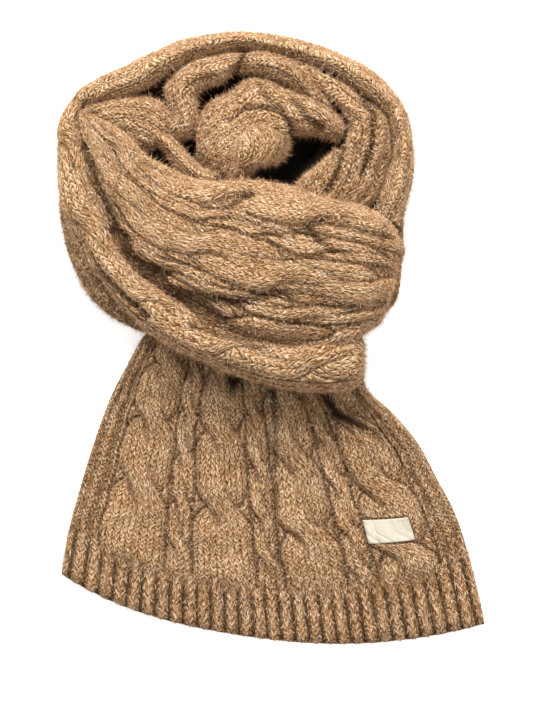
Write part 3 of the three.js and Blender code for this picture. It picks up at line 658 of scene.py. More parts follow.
def brushed_wool(name):
    """Streaks along each leg of a stitch pick its colour, and shade is painted into the gaps
    between legs and into the cloth's grooves, creases and pits.
    """
    wool = Finish(name)
    place = wool.node("ShaderNodeTexCoord", out="Object")
    stitch = wool.node("ShaderNodeUVMap", {"uv_map": "knit"})
    tone = wool.node("ShaderNodeAttribute", {"attribute_name": "tone"}, out="Fac")
    column, row = wool.parts(stitch)
    column = column + 0.5 * (wool.noise(place, 300, 1) - 0.5)
    row = row + 0.8 * (wool.noise(place, 230, 1) - 0.5)
    aside = abs(column.fraction() - 0.5)
    leg = row - LEG_SLOPE * aside
    across_leg = leg.fraction()
    ridge = 4 * across_leg * (1 - across_leg)
    edge = 16 * aside * aside * aside * aside
    round_leg = ridge * (1 - edge)
    streak = wool.noise(wool.vector(3.6 * leg, 0.8 * row + 0.6 * column, 3 * column), 1.0, 2) - 0.5
    fleck = wool.noise(place, 1300, 2) - 0.5
    heather = wool.noise(place, 60, 2) - 0.5
    # Painted light: the crest of each leg is a little lighter.
    shade = 0.5 + 1.15 * streak + 0.8 * fleck + 0.45 * heather + 0.16 * (round_leg - 0.6)
    colour = wool.node(
        "ShaderNodeValToRGB",
        {"stops": [(0.2, WOOL_DARK), (0.42, WOOL_MID), (0.6, WOOL_LIGHT), (0.82, WOOL_PALE)]},
        {0: shade},
    )
    # Painted shade: the gaps between legs darken towards a dark brown.
    open_leg = wool.node(
        "ShaderNodeMapRange", {"interpolation_type": "SMOOTHSTEP"},
        {0: round_leg + 0.7 * fleck, 1: -0.05, 2: 0.45, 3: 0.0, 4: 1.0},
    )
    colour = wool.mix(open_leg, WOOL_GAP_SHADE, colour)
    # Painted shade: the colour darkens towards dark brown where the mesh's light attribute is low,
    # in grooves, creases and under other parts.
    colour = wool.mix(tone, WOOL_SHADE, colour)
    # Painted shadow: where almost no light is painted, in the pits between the folds, the colour
    # goes almost black.
    lit = wool.node("ShaderNodeMapRange", {}, {0: tone, 1: 0.0, 2: 0.09, 3: 0.0, 4: 1.0})
    colour = wool.mix(lit, WOOL_PIT_SHADOW, colour)
    wool.set("Base Color", colour)
    height = round_leg + 0.9 * streak + 0.8 * fleck
    wool.set("Normal", wool.bump(0.9, 0.0008, height))
    wool.set("Roughness", 0.95)
    wool.set("Specular IOR Level", 0.1)
    wool.set("Sheen Weight", 0.05)
    wool.set("Sheen Roughness", 0.6)
    wool.set("Sheen Tint", WARM_SHEEN)
    return wool.material


wool = brushed_wool("brushed_wool")
print("wool finish:", wool.name)

# %% [markdown]
# ## Laying each stretch
#
# A stretch is its section grid, pushed out along its own normal by the knit, the stitches and the
# lumps, and pressed in by its creases. Near its edges and ends the knit fades away, and an end that
# shows is rounded off where the cloth turns under.

# %% Stretches
COARSE = (60, 31)
INNER_POINTS = 9
LEAST_CLOTH = 2
FLATTENED = {"front_band": (-95, -35, 0.45)}
# Painted shade in the knit's grooves and painted light on its crests: their reach, least light and
# ranges.
GROOVE = {"rib": 0.5, "cables": 1.1}
GROOVE_LEAST_PAINTED_LIGHT = 0.14
CREST = (0.5, 3.8)
GROOVE_PAINTED_LIGHT = {"lower_band": 0.65, "front_band": 0.45, "tail_panel": 0.55}
CREST_PAINTED_LIGHT = {"front_band": 0.1, "tail_panel": 0.26}
# Painted shade near these edges of each piece, both edges unless listed, over the given reach.
PAINTED_SHADE_EDGES = {"top_rim": "b", "lower_band": "", "left_outer": "a", "core_nose": ""}
EDGE_REACH = {"top_rim": 13}
USUAL_REACH = 8
EDGE_PAINTED_LIGHT = 0.12
# Painted shade along the creases: least light and the depths over which it falls.
CREASE_PAINTED_LIGHT = 0.25
CREASED = (0.6, 3.2)
IN_SHADE = {"left_outer": 0.6, "inner_back_roll": 0.85, "inner_right": 0.85, "inner_left": 0.85}
fuzz_beds = {}
made_sheets = []


def painted_groove_light(name, height, reach):
    """Light that reaches a point: least in a groove, more at reach mm above it, all on a crest."""
    least, crest = GROOVE_PAINTED_LIGHT.get(name, GROOVE_LEAST_PAINTED_LIGHT), CREST_PAINTED_LIGHT.get(name, 0)
    tone = least + (1 - least) * smooth_step(height, 0, reach)
    return tone * (1 - crest + crest * smooth_step(height, *CREST))


def end_rounding(distance, length, rounding):
    """Share of the height left near each end: a quarter circle over the rounding length."""
    share = np.ones_like(distance)
    for reach, gone in zip(rounding, (distance, length - distance)):
        if reach:
            share *= np.sqrt(np.clip(1 - (1 - np.clip(gone / reach, 0.02, 1)) ** 2, 0, 1))
    return share


def lay_stretch(name, stretch):
    """Works out a stretch's outer and inner grids and makes its wall."""
    rows, full, wall = section_rows(stretch), stretch["full"], stretch["wall"]
    pattern, start, strength, *columns = stretch["knit"]
    coarse_u, coarse_q = np.linspace(0, 1, COARSE[0]), np.linspace(-1, 1, COARSE[1])
    coarse = section_grid(rows, coarse_u, coarse_q, full, 0)
    length = running_length(coarse[:, COARSE[1] // 2][:, None], 0)[-1, 0]
    girth = running_length(coarse, 1)[:, -1].max()
    u = np.linspace(0, 1, int(length / GRID))
    q = crowded(np.linspace(-1, 1, int(girth / GRID)))
    outer = section_grid(rows, u, q, full, 0)
    distance = running_length(outer[:, len(q) // 2][:, None], 0)
    left = end_rounding(distance, distance[-1], stretch["round"])
    floor = outer[..., 2].min()
    outer[..., 2] = floor + (outer[..., 2] - floor) * left
    normal = grid_normals(outer)
    arc = running_length(outer, 1)
    whole = np.maximum(arc[:, -1:], 1e-6)
    near_edge = np.minimum(arc, whole - arc)
    near_end = np.minimum(distance, distance[-1] - distance)
    fade = smooth_step(near_edge, 0, FADE_IN) * smooth_step(near_end, *END_FADE)
    wander = WANDER_ASIDE * lumps(outer, 8)
    along = start + distance * (1 if pattern == "rib" else PULL)
    along = along + WANDER_ALONG * lumps(outer, 9)
    if pattern == "rib":
        height, column, row = plain_rib(arc - whole.mean() / 2 + wander, along)
    else:
        across = columns[0] + (columns[1] - columns[0]) * arc / whole
        height, column, row = knit(across + wander, along)
    pressed = crease_depth(CREASES.get(name, []), outer[..., 0], outer[..., 1])
    if name in FLATTENED:
        flat_to, full_from, least = FLATTENED[name]
        height = height * (least + (1 - least) * smooth_step(outer[..., 0], flat_to, full_from))
    push = fade * (strength * height - pressed + LUMP * lumps(outer))
    push = np.maximum(push, LEAST_CLOTH - wall)
    push += STITCH_RISE * (stitch_height(column, row) - 0.5) * smooth_step(near_edge, 0, 2)
    outer = outer + normal * push[..., None]
    inner = section_grid(rows, u, crowded(np.linspace(-1, 1, INNER_POINTS)), full, wall)
    inner[..., 2] = floor + (inner[..., 2] - floor) * left
    stitches = np.stack([column, row], axis=-1)
    # Painted shade in the grooves and painted light on the crests.
    tone = painted_groove_light(name, height, GROOVE[pattern])
    # Painted shade: the cloth is darker along its creases.
    tone = tone * (1 - (1 - CREASE_PAINTED_LIGHT) * smooth_step(pressed, *CREASED))
    # Painted shade: the colour darkens near the listed edges, where they turn down beside other
    # parts.
    for edge, far in (("a", arc), ("b", whole - arc)):
        if edge in PAINTED_SHADE_EDGES.get(name, "ab"):
            light = smooth_step(far, 1, EDGE_REACH.get(name, USUAL_REACH))
            tone = tone * (EDGE_PAINTED_LIGHT + (1 - EDGE_PAINTED_LIGHT) * light)
    # Painted shade: whole pieces that lie in shade among the others are darkened.
    tone = tone * IN_SHADE.get(name, 1)
    piece = shell(name + "_knit", outer, inner, stitches, wool, tone)
    fuzz_beds[name] = (outer, stitches, tone)
    stand_for(piece, name)
    made_sheets.append((piece, whole.mean(), float(distance[-1, 0]), ["wound_layers_knit"]))
    print(piece.name, len(piece.data.polygons), "faces", round(float(length)), "mm long")


for name, stretch in STRETCHES.items():
    lay_stretch(name, {**USUAL, **stretch})

# %% [markdown]
# ## The free end
#
# The free end fans out from under the loop: narrow and gathered at the top, full width at the hem.
# Its plan is a curve through the left edge, the middle and the right edge of each row. Its cables
# are knitted from the hem upwards, so the distance is counted from there.

# %% Free end
TAIL_CLOTH = 6.5
TAIL_FULL = 8
TAIL_LENGTH = 196
TAIL_LEAST = 2.5
TAIL_STRENGTH = 1.3
HEM_BULGE = 3
LABEL_PRESSED = 1.2
GATHER = 1.5
HEM_FROM = 1 - 24 / TAIL_LENGTH
HEM_LAP = 0.002
HEM_SUNK = 0.4
HEM_GROOVE_PAINTED_LIGHT = 0.35
TIP_LONG = 5
TIP_DROP = 2.6
TIP_WAVE = 1.4
TAIL_CREASE_PAINTED_LIGHT = 0.05
TAIL_CREASED = (0.8, 4.5)
TAIL_WANDER = 0.9
TAIL_EDGE = 6
CABLES_FROM, CABLES_FULL = 17, 27
TAIL_INNER_STEP = 60
LABEL_BED = {"u": 0.74, "q": 0.659, "half_u": 0.045, "half_q": 0.122, "slant": 0.145, "drift": 0.03}
LABEL_SLANT_FROM = 0.66
FAN = ["ax", "ay", "mx", "my", "bx", "by", "under", "thick", "gather"]
TAIL_ROWS = [
    [-64, 16, -12, 6, 42, 6, 18.5, 5, 2.2],
    [-79, 4, -15, -10, 54, -12, 18.5, 5.5, 2.2],
    [-92, -18, -13, -29, 60, -32, 12, TAIL_CLOTH, 2],
    [-101, -35, -11, -52, 75, -46, 5, TAIL_CLOTH, 1.7],
    [-108.5, -54, -9, -79, 91.5, -65, 1, TAIL_CLOTH, 1.3],
    [-115.5, -75, -6, -108, 103.5, -87, 0, TAIL_CLOTH, 1.1],
    [-122, -97, -4, -132, 115, -109, 0, TAIL_CLOTH, 1],
    [-128, -119, -1, -155, 123.5, -134, 0, TAIL_CLOTH, 0.9],
    [-133.2, -148.5, 2, -190.2, 134.5, -180, 0, TAIL_CLOTH - 0.5, 0.6],
]


def fan_plan(c, u, q):
    """The parabola through the left edge, the middle and the right edge, at q from -1 to 1, and
    the hem's left half a little below it."""
    left, middle, right = q * (q - 1) / 2, 1 - q * q, q * (q + 1) / 2
    x = c["ax"] * left + c["mx"] * middle + c["bx"] * right
    y = c["ay"] * left + c["my"] * middle + c["by"] * right
    return x, y - HEM_BULGE * 4 * q**2 * (1 - q**2) * u**4 * (q < 0)


def label_bed(u, q):
    """True under the label: a slanted box in shares along and across the free end."""
    bed = LABEL_BED
    down = u - bed["u"] - bed["slant"] * (q - LABEL_SLANT_FROM)
    side = q - bed["q"] + bed["drift"] * (u - bed["u"])
    return (np.abs(down) < bed["half_u"]) & (np.abs(side) < bed["half_q"])


def tail_surface(u, q, press=True):
    """The free end's top side at shares u along and q across: ribs at the hem, cables above it."""
    c = table_curves(FAN, TAIL_ROWS, u)
    under = np.maximum(0, c["under"])
    x, y = fan_plan(c, u, q)
    place = (q + 1) / 2 * SCARF_WIDTH
    distance = (1 - u) * TAIL_LENGTH
    edge = smooth_step((1 - np.abs(q)) * SCARF_WIDTH / 2, 0, TAIL_EDGE)
    flat = np.stack([x, y, 0 * x], axis=-1)
    wandered = distance + WANDER_ALONG * lumps(flat, 9)
    height, column, row = knit(place + TAIL_WANDER * lumps(flat, 8), wandered)
    gathered = GATHER * (c["gather"] - 1) * np.where(height > 0.1, 1, -1)
    pressed = crease_depth(CREASES["tail_panel"], x, y)
    out = TAIL_STRENGTH * height * np.minimum(1, c["gather"]) + gathered - pressed
    ribbed = HEM_RISE * ribs(place) - HEM_SUNK
    cabled = smooth_step(distance, CABLES_FROM, CABLES_FULL)
    out = ribbed + (out - ribbed) * cabled
    height = ribbed + (height - ribbed) * cabled
    column = np.where(cabled < 0.5, place / STITCH_WIDE + 0.5, column)
    out = np.maximum(out + LUMP * lumps(flat, 5), TAIL_LEAST - c["thick"])
    out = out + STITCH_RISE * (stitch_height(column, row) - 0.5)
    out = np.where(label_bed(u, q), np.minimum(out, LABEL_PRESSED), out) if press else out
    z = under + c["thick"] * crown(q, TAIL_FULL) + edge * out
    # Painted shade: less light is painted into the cable grooves, the hem's rib grooves and the
    # creases of the free end.
    tone = painted_groove_light("tail_panel", height, 1.0)
    groove = (1 - cabled) * (1 - smooth_step(height, -0.2, 1.4))
    tone = tone * (1 - (1 - HEM_GROOVE_PAINTED_LIGHT) * groove)
    tone = tone * (1 - (1 - TAIL_CREASE_PAINTED_LIGHT) * smooth_step(pressed, *TAIL_CREASED))
    return np.stack([x, y, z], axis=-1), np.stack([column, row], axis=-1), under, tone


def lay_tail(name, u0, u1, hem):
    """Makes the wall of a stretch of the free end, from share u0 to u1 of its length."""
    u, q = np.meshgrid(
        np.linspace(u0, u1, int((u1 - u0) * TAIL_LENGTH / GRID)),
        np.linspace(-1, 1, int(SCARF_WIDTH / GRID)), indexing="ij",
    )
    outer, stitches, under, tone = tail_surface(u, q)
    if hem:
        tip = smooth_step(u, 1 - TIP_LONG / TAIL_LENGTH, 1)
        outer[..., 2] -= TIP_DROP * tip**2 * (outer[..., 2] > 3)
        outer[..., 1] -= TIP_WAVE * tip * (ribs((q + 1) / 2 * SCARF_WIDTH) - 0.6)
    inner = np.concatenate([outer[..., :2], under[..., None]], axis=-1)[:, ::TAIL_INNER_STEP]
    for side in (0, -1):
        outer[:, side, 2] = np.maximum(outer[:, side, 2], inner[:, side, 2] + TAIL_LEAST)
    piece = shell(name + "_knit", outer, inner, stitches, wool, tone)
    fuzz_beds[name] = (outer[::-1], stitches[::-1], tone[::-1])
    stand_for(piece, name)
    width = running_length(outer[:, ::8], 1)[:, -1].mean()
    length = running_length(outer[::4, len(q[0]) // 2][:, None], 0)[-1, 0]
    made_sheets.append((piece, float(width), float(length), []))
    print(piece.name, len(piece.data.polygons), "faces")


lay_tail("tail_panel", 0, HEM_FROM + HEM_LAP, False)
lay_tail("hem_rib", HEM_FROM - HEM_LAP, 1, True)

# %% [markdown]
# ## The hidden layers
#
# Under the walls lie the scarf's other turns, pressed flat. Only their doubled edges show from the
# side, and a little of their top in the pits between the folds, which are deep and painted with
# shadow. They are one surface in polar form: a profile of two rounded layers carried round the
# outline, then in across the top.

# %% Hidden layers
LAYERS_TOP = 18
LAYER = 9
PIT_DEPTH = 13
ROUND_IT = 420
UP_THE_SIDE = 36
IN_THE_TOP = 56
MIDDLE = np.array([-22.0, 92.0])
OUTLINE = [
    [-127, 148], [-134, 125], [-133.5, 100], [-131, 76], [-127, 58], [-120, 38], [-110, 23],
    [-96, 12], [-76, 8], [-54, 4], [-20, 0], [20, -4], [48, -4], [62, 11], [77, 23], [81, 44],
    [82, 62], [83, 84], [87, 104], [88, 121], [83, 144], [69, 161.5], [46, 176], [14, 187.5],
    [-18, 191.5], [-50, 188], [-74, 179], [-93, 170], [-113, 160],
]
PITS = [
    [[12, 128], [32, 125], [27, 112], [14, 97], [0, 95], [-13, 97], [-14, 107], [2, 109],
     [11, 116]],
    [[-80, 123], [-72, 120], [-62, 106], [-52, 98], [-58, 96], [-72, 106]],
    [[-52, 124], [-46, 124], [-48, 113], [-54, 112], [-60, 120]],
    [[-47, 150], [-36, 158], [-30, 156], [-40, 147], [-47, 137]],
]
UNDER_RIM = [[-118, 152], [-96, 163], [-72, 174], [-56, 176], [-62, 164], [-76, 158], [-98, 155]]
UNDER_RIM_RISE = 13
UNDER_RIM_PAINTED_LIGHT = 0.7
PIT_PAINTED_LIGHT = 0.03
SIDE_RIBS = {"rows": 2, "rise": 0.9, "stitches": 0.4, "painted_groove_light": 0.35, "painted_crest_light": 0.6}
LAYER_PROFILE = [
    [0, 3], [1.5, 1.2], [4, 0.3], [LAYER - 2, 0.8], [LAYER - 0.3, 3.2], [LAYER, 4.2],
    [LAYER + 0.3, 3.2], [LAYER + 2, 0.8], [LAYER + 5, 0.3], [LAYERS_TOP - 2, 1],
    [LAYERS_TOP - 0.6, 2.5], [LAYERS_TOP, 5],
]


def inside_depth(polygon, x, y):
    """Distance to a polygon's edge, above 0 inside it and below 0 outside."""
    far = np.full_like(x, np.inf)
    inside = np.zeros(x.shape, bool)
    for start, end in zip(polygon, polygon[1:] + polygon[:1]):
        far = np.minimum(far, to_segment(x, y, start, end)[1])
        (x0, y0), (x1, y1) = start, end
        crosses = (y0 > y) != (y1 > y)
        inside ^= crosses & (x < x0 + (y - y0) * (x1 - x0) / ((y1 - y0) or 1e-9))
    return np.where(inside, far, -far)


def lay_hidden_layers():
    """The polar surface: rings up the layered side, then rings in across the top, with its pits."""
    closed = OUTLINE[-1:] + OUTLINE + OUTLINE[:2]
    share = (1 + np.linspace(0, len(OUTLINE), ROUND_IT, endpoint=False)) / (len(closed) - 1)
    rim = table_curves(["x", "y"], closed, share)
    rim = np.stack([rim["x"], rim["y"]], axis=-1)
    profile = table_curves(["z", "inset"], LAYER_PROFILE, np.linspace(0, 1, UP_THE_SIDE))
    side = rim[None] + unit(MIDDLE - rim)[None] * profile["inset"][:, None, None]
    levels = np.broadcast_to(profile["z"][:, None, None], (UP_THE_SIDE, ROUND_IT, 1))
    side = np.concatenate([side, levels], -1)
    shares = np.linspace(1, 0.004, IN_THE_TOP)[1:, None, None]
    top = MIDDLE + (side[-1:, :, :2] - MIDDLE) * shares
    dip = sum(smooth_step(inside_depth(p, top[..., 0], top[..., 1]), -1.5, 4) for p in PITS)
    under_rim = smooth_step(inside_depth(UNDER_RIM, top[..., 0], top[..., 1]), -2, 5)
    height = LAYERS_TOP - PIT_DEPTH * np.clip(dip, 0, 1) + UNDER_RIM_RISE * under_rim
    grid = np.concatenate([side, np.concatenate([top, height[..., None]], -1)], axis=0)
    around = running_length(rim[:, None], 0)[:, 0] / STITCH_WIDE
    up = running_length(grid[:, :1], 0) / STITCH_HIGH
    column = np.broadcast_to(around[None], grid.shape[:2])
    row = np.broadcast_to(up, grid.shape[:2])
    ribbed = ribs(row, SIDE_RIBS["rows"])
    stitched = SIDE_RIBS["stitches"] * (stitch_height(column, row) - 0.5)
    rise = SIDE_RIBS["rise"] * ribbed + stitched
    on_side = (np.arange(len(grid)) < UP_THE_SIDE)[:, None]
    push = (rise * on_side * smooth_step(grid[..., 2], 0, 2))[..., None]
    grid[..., :2] += unit(grid[..., :2] - MIDDLE) * push
    # Painted shade: the side's rib grooves get less light than their crests, and the top almost
    # none, least in the pits and more under the rim.
    tone = SIDE_RIBS["painted_groove_light"] + SIDE_RIBS["painted_crest_light"] * ribbed
    tone[UP_THE_SIDE:] = PIT_PAINTED_LIGHT + UNDER_RIM_PAINTED_LIGHT * under_rim - PIT_PAINTED_LIGHT * np.clip(dip, 0, 1)
    rings, size = grid.shape[:2]
    i, j, corners = ring_faces(rings, size)
    spread = at_corners(i, j, lambda a, b: np.stack([b / size, a / (rings - 1) * 0.9], axis=-1))
    knit_map = np.stack([column, row], axis=-1)
    knit_map = np.concatenate([knit_map, knit_map[:, :1]], axis=1)
    knitted = at_corners(i, j, lambda a, b: knit_map[a, b])
    ends = [np.arange(size)[::-1], np.arange(size) + (rings - 1) * size]
    caps = []
    for k, ring in enumerate(ends):
        p = grid.reshape(-1, 3)[ring, :2]
        p = (p - p.min(0)) / np.ptp(p, axis=0)
        caps.append(p * 0.09 + [0.5 * k, 0.905])
    loops = np.concatenate([corners.ravel(), *ends])
    starts = np.concatenate([np.arange(len(i)) * 4, [4 * len(i), 4 * len(i) + size]])
    knit_uv = np.concatenate([knitted, np.zeros((2 * size, 2))])
    piece = put_mesh(
        "wound_layers_knit", grid.reshape(-1, 3), loops, starts, wool,
        [("OFBake", np.concatenate([spread, *caps])), ("knit", knit_uv)], tone,
    )
    seen = slice(2, UP_THE_SIDE - 2)
    fuzz_beds["wound_layers"] = (grid[seen], knit_map[seen, :-1], tone[seen])
    stand_for(piece, "wound_layers")
    print(piece.name, len(piece.data.polygons), "faces")


lay_hidden_layers()

# %% [markdown]
# ## The label
#
# A small woven tape label, left blank, is sewn to the knit near the hem by its two short ends. It
# is a thin plate that follows the mean height of the knit under it. The weave is fine enough for
# the finish to carry, and the stitches at its ends are short bars of thread.

# %% Label
LABEL_CLOTH = 0.8
LABEL_LIFT = 0.4
LABEL_SPREAD = 7
LABEL_EDGE = {"thick": 0.35, "rounded": 0.8, "hem": 0.12, "hem_from": 1.6, "hem_full": 1.2}
LABEL_WIDE = 30
LABEL_TALL = 16
LABEL_CUT = (30, 15.5)
LABEL_GRID = (34, 62)
THREAD_WIDE = 0.42
THREAD_TALL = 0.36
THREAD_LIFT = 0.4
THREAD_STOPS = [(0.1, 0.55), (0.5, 1), (0.9, 0.55)]
LABEL_CORNERS = np.array([[[0.684, 0.544], [0.715, 0.778]], [[0.766, 0.540], [0.794, 0.772]]])
TAPE = (0.68, 0.62, 0.50)
TAPE_SHADE = (0.50, 0.43, 0.31)
THREAD = (0.80, 0.72, 0.56)


def label_low(f, g):
    """The label's lower side at shares f down it and g across it: the knit's mean height there."""
    top = LABEL_CORNERS[0, 0] * (1 - g[..., None]) + LABEL_CORNERS[0, 1] * g[..., None]
    low = LABEL_CORNERS[1, 0] * (1 - g[..., None]) + LABEL_CORNERS[1, 1] * g[..., None]
    u, q = np.moveaxis(top * (1 - f[..., None]) + low * f[..., None], -1, 0)
    x, y = fan_plan(table_curves(FAN, TAIL_ROWS, u), u, q)
    height = 0
    for du in (-1, 0, 1):
        for dq in (-1, 0, 1):
            near_u = u + du * LABEL_SPREAD / TAIL_LENGTH
            near_q = q + 2 * dq * LABEL_SPREAD / SCARF_WIDTH
            height = height + tail_surface(near_u, near_q, False)[0][..., 2] / 9
    return np.stack([x, y, height + LABEL_LIFT], axis=-1)


def woven_tape(name):
    """Fine threads over and under each other, as two crossing waves, on cream cotton."""
    tape = Finish(name)
    weave = tape.node("ShaderNodeUVMap", {"uv_map": "knit"})
    across, along = tape.parts(weave)
    warp = across.sum("SINE", 14 * across)
    weft = along.sum("SINE", 14 * along)
    cloth = 0.5 + 0.25 * warp + 0.25 * weft
    stain = tape.noise(tape.node("ShaderNodeTexCoord", out="Object"), 90, 3)
    tape.set("Base Color", tape.mix(0.1 + 0.25 * cloth * stain, TAPE, TAPE_SHADE))
    tape.set("Normal", tape.bump(0.35, 0.0002, cloth))
    tape.set("Roughness", 0.75)
    return tape.material


def plain_finish(name, colour, sheen=0.0):
    """One even dull colour, for a fibre, a thread or the table."""
    made = Finish(name)
    made.set("Base Color", colour)
    made.set("Roughness", 0.9)
    made.set("Specular IOR Level", 0.1)
    made.set("Sheen Weight", sheen)
    made.set("Sheen Tint", WARM_SHEEN)
    return made.material


def lay_label():
    """A thin plate whose edges are turned down a little."""
    f, g = np.meshgrid(*(np.linspace(0, 1, count) for count in LABEL_GRID), indexing="ij")
    low = label_low(f, g)
    edge = np.minimum(np.minimum(f, 1 - f) * LABEL_TALL, np.minimum(g, 1 - g) * LABEL_WIDE)
    thick, at = LABEL_EDGE["thick"], LABEL_EDGE
    pillow = thick + (1 - thick) * np.sqrt(np.clip(edge / at["rounded"], 0, 1))
    hem = at["hem"] * smooth_step(edge, at["hem_from"], at["hem_full"])
    outer = low + np.stack([0 * f, 0 * f, LABEL_CLOTH * pillow + hem], axis=-1)
    weave = np.stack([g * LABEL_WIDE, f * LABEL_TALL], axis=-1)
    piece = shell("label_tape", outer, low[:, ::6], weave, woven_tape("woven_tape"))
    stand_for(piece, "label")
    made_sheets.append((piece, *LABEL_CUT, ["tail_panel_knit"]))
    return outer


def sew_label(outer):
    """Short raised bars of thread along both short ends of the label."""
    up = np.array([0, 0, THREAD_TALL])
    sides = ring_faces(len(THREAD_STOPS), 4)[2]
    bar = np.concatenate([sides, [[3, 2, 1, 0], [8, 9, 10, 11]]])
    points, faces = [], []
    for side in (2, -3):
        for k in range(2, LABEL_GRID[0] - 2, 3):
            a, b = outer[k, side], outer[min(k + 2, LABEL_GRID[0] - 1), side]
            way = b - a
            aside = np.array([way[1], -way[0], 0]) / np.linalg.norm(way) * THREAD_WIDE
            faces.append(bar + len(points))
            for share, thick in THREAD_STOPS:
                for s, t in SQUARE / 2:
                    middle = a + way * share + aside * s * thick
                    points.append(middle + up * (t * thick + THREAD_LIFT))
    corners = np.concatenate(faces)
    piece = put_mesh(
        "label_stitches", np.array(points), corners.ravel(), 4 * np.arange(len(corners)),
        plain_finish("sewing_thread", THREAD),
    )
    stand_for(piece)
    print(piece.name, len(corners), "faces")


sew_label(lay_label())

# %% [markdown]
# ## Loose fibres
#
# Brushed wool is covered with loose fibres, which soften the stitches and blur the outline.
# Blender's hair would do this too, but plain mesh survives an export. Each fibre is one narrow leaf
# of four points, set down at a seeded place. Its chance follows the cloth's area and the light that
# reaches it, and is higher on steep sides. Strokes lie along a stitch's leg, and loose fibres lean
# out, furthest from steep sides, so that they blur the outline and the grooves. A stroke's length
# is drawn evenly between two values in mm, and a loose fibre's from a gamma curve of shape 6 and
# scale 0.5 mm.

# %% Fibres
FIBRE_COLOURS = {
    "pale": (0.92, 0.70, 0.49), "cream": (0.72, 0.455, 0.25), "camel": (0.46, 0.23, 0.09),
    "rust": (0.28, 0.115, 0.03), "brown": (0.07, 0.028, 0.009),
}
FIBRE_SHARES = [0.15, 0.32, 0.3, 0.13, 0.1]
STROKES = 0.75
STRAY_CHANCE = 0.04
STEEP_CHANCE = 3.5
STEEP_LEAN = 0.75
STEEP_ROOT = 0.42
STROKE = {"turn": 0.22, "lean": 0.05, "wide": 2.7, "root": 0.05, "arch": 0.25}
LOOSE = {"turn": 0.8, "lean": 0.45, "wide": 1, "root": 0, "arch": 0.1}
STROKE_LONG = (2.2, 3.8)
LOOSE_LONG = (6, 0.5)
HALF_WIDE = (0.05, 0.1)
WIDEST_AT = 0.45
ON_THE_CREST = 0.3
FIBRES = {
    "fibres_free_end": {"tail_panel": 62000, "hem_rib": 17000},
    "fibres_front": {"front_band": 46000, "lower_band": 19000, "left_outer": 6000},
    "fibres_loop": {
        "top_rim": 15000, "core_nose": 6000, "inner_roll": 6000, "inner_back_roll": 4500,
        "thin_strip": 3000, "core_fold": 11000, "inner_right": 13000, "inner_left": 5000,
        "wound_layers": 8000,
    },
}


def cell_changes(values):
    """Change of a grid's values along and across each cell, and none where they jump."""
    along = values[1:, :-1] - values[:-1, :-1]
    across = values[:-1, 1:] - values[:-1, :-1]
    return np.where(np.abs(along) < 1, along, 0), np.where(np.abs(across) < 1, across, 0)


def steepness(normal):
    """0 where the cloth looks up, and 1 where it looks well aside."""
    return smooth_step(normal[..., 2], 0.7, 0.3)


def leg_ways(side, down, right, along, across):
    """Way in space in which the column changes by side while the row changes by the leg's slope."""
    (down_c, down_r), (right_c, right_r) = down.T[..., None], right.T[..., None]
    solved = down_c * right_r - right_c * down_r
    solved = np.where(np.abs(solved) < 1e-4, 1e-4, solved)
    way = along * (side * right_r - LEG_SLOPE * right_c) / solved
    return unit(way + across * (LEG_SLOPE * down_c - side * down_r) / solved)


def grow_fibres(bed, count, rng):
    """Root, two sides and tip of each fibre, and the painted light of its place. Strokes lie on the
    crest of a stitch's leg and run along it, and loose fibres lean out every way."""
    points, stitches, tone = bed
    along, across = points[1:, :-1] - points[:-1, :-1], points[:-1, 1:] - points[:-1, :-1]
    normal = np.cross(across, along)
    area = np.linalg.norm(normal, axis=-1)
    normal = normal / np.maximum(area, 1e-9)[..., None]
    chance = area * (1 + STEEP_CHANCE * steepness(normal)) * (normal[..., 2] > -0.15)
    # Fewer fibres grow where little light is painted.
    chance = (chance * (STRAY_CHANCE + tone[:-1, :-1])).ravel()
    cell = rng.choice(len(chance), count, p=chance / chance.sum())
    i, j = np.unravel_index(cell, area.shape)
    s, t = rng.random((2, count, 1))
    root = points[i, j] + across[i, j] * s + along[i, j] * t
    up = normal[i, j]
    down, right = (change[i, j] for change in cell_changes(stitches))
    place = stitches[i, j] + down * t + right * s
    aside, leg = leg_place(place[:, :1], place[:, 1:])
    stroke = (rng.random((count, 1)) < STROKES) & (np.abs(leg - 0.5) < ON_THE_CREST)
    kind = {key: np.where(stroke, STROKE[key], LOOSE[key]) for key in STROKE}
    side = np.where(aside > 0, 1, -1)
    way = leg_ways(side, down, right, along[i, j], across[i, j])
    turn = kind["turn"] * rng.normal(0, 1, (count, 1))
    turn += np.pi * (rng.random((count, 1)) < 0.5)
    steep = steepness(up)[:, None] * ~stroke
    lean = kind["lean"] + STEEP_LEAN * steep
    lean = lean * np.abs(rng.normal(0, 1, (count, 1))) + 0.03
    flat = way * np.cos(turn) + np.cross(up, way) * np.sin(turn)
    direction = flat * np.cos(lean) + up * np.sin(lean)
    lengths = rng.uniform(*STROKE_LONG, (count, 1)), rng.gamma(*LOOSE_LONG, (count, 1))
    length = np.where(stroke, *lengths)
    spread = unit(np.cross(direction, up * 0.6 + np.array([0, 0, 0.4])))
    half = kind["wide"] * rng.uniform(*HALF_WIDE, (count, 1))
    start = root - direction * length * (0.5 - STEEP_ROOT * steep) + up * kind["root"]
    middle = start + direction * length * WIDEST_AT + up * kind["arch"]
    tip = start + direction * length
    corners = np.stack([start, middle + spread * half, tip, middle - spread * half], axis=1)
    return corners, tone[i, j]


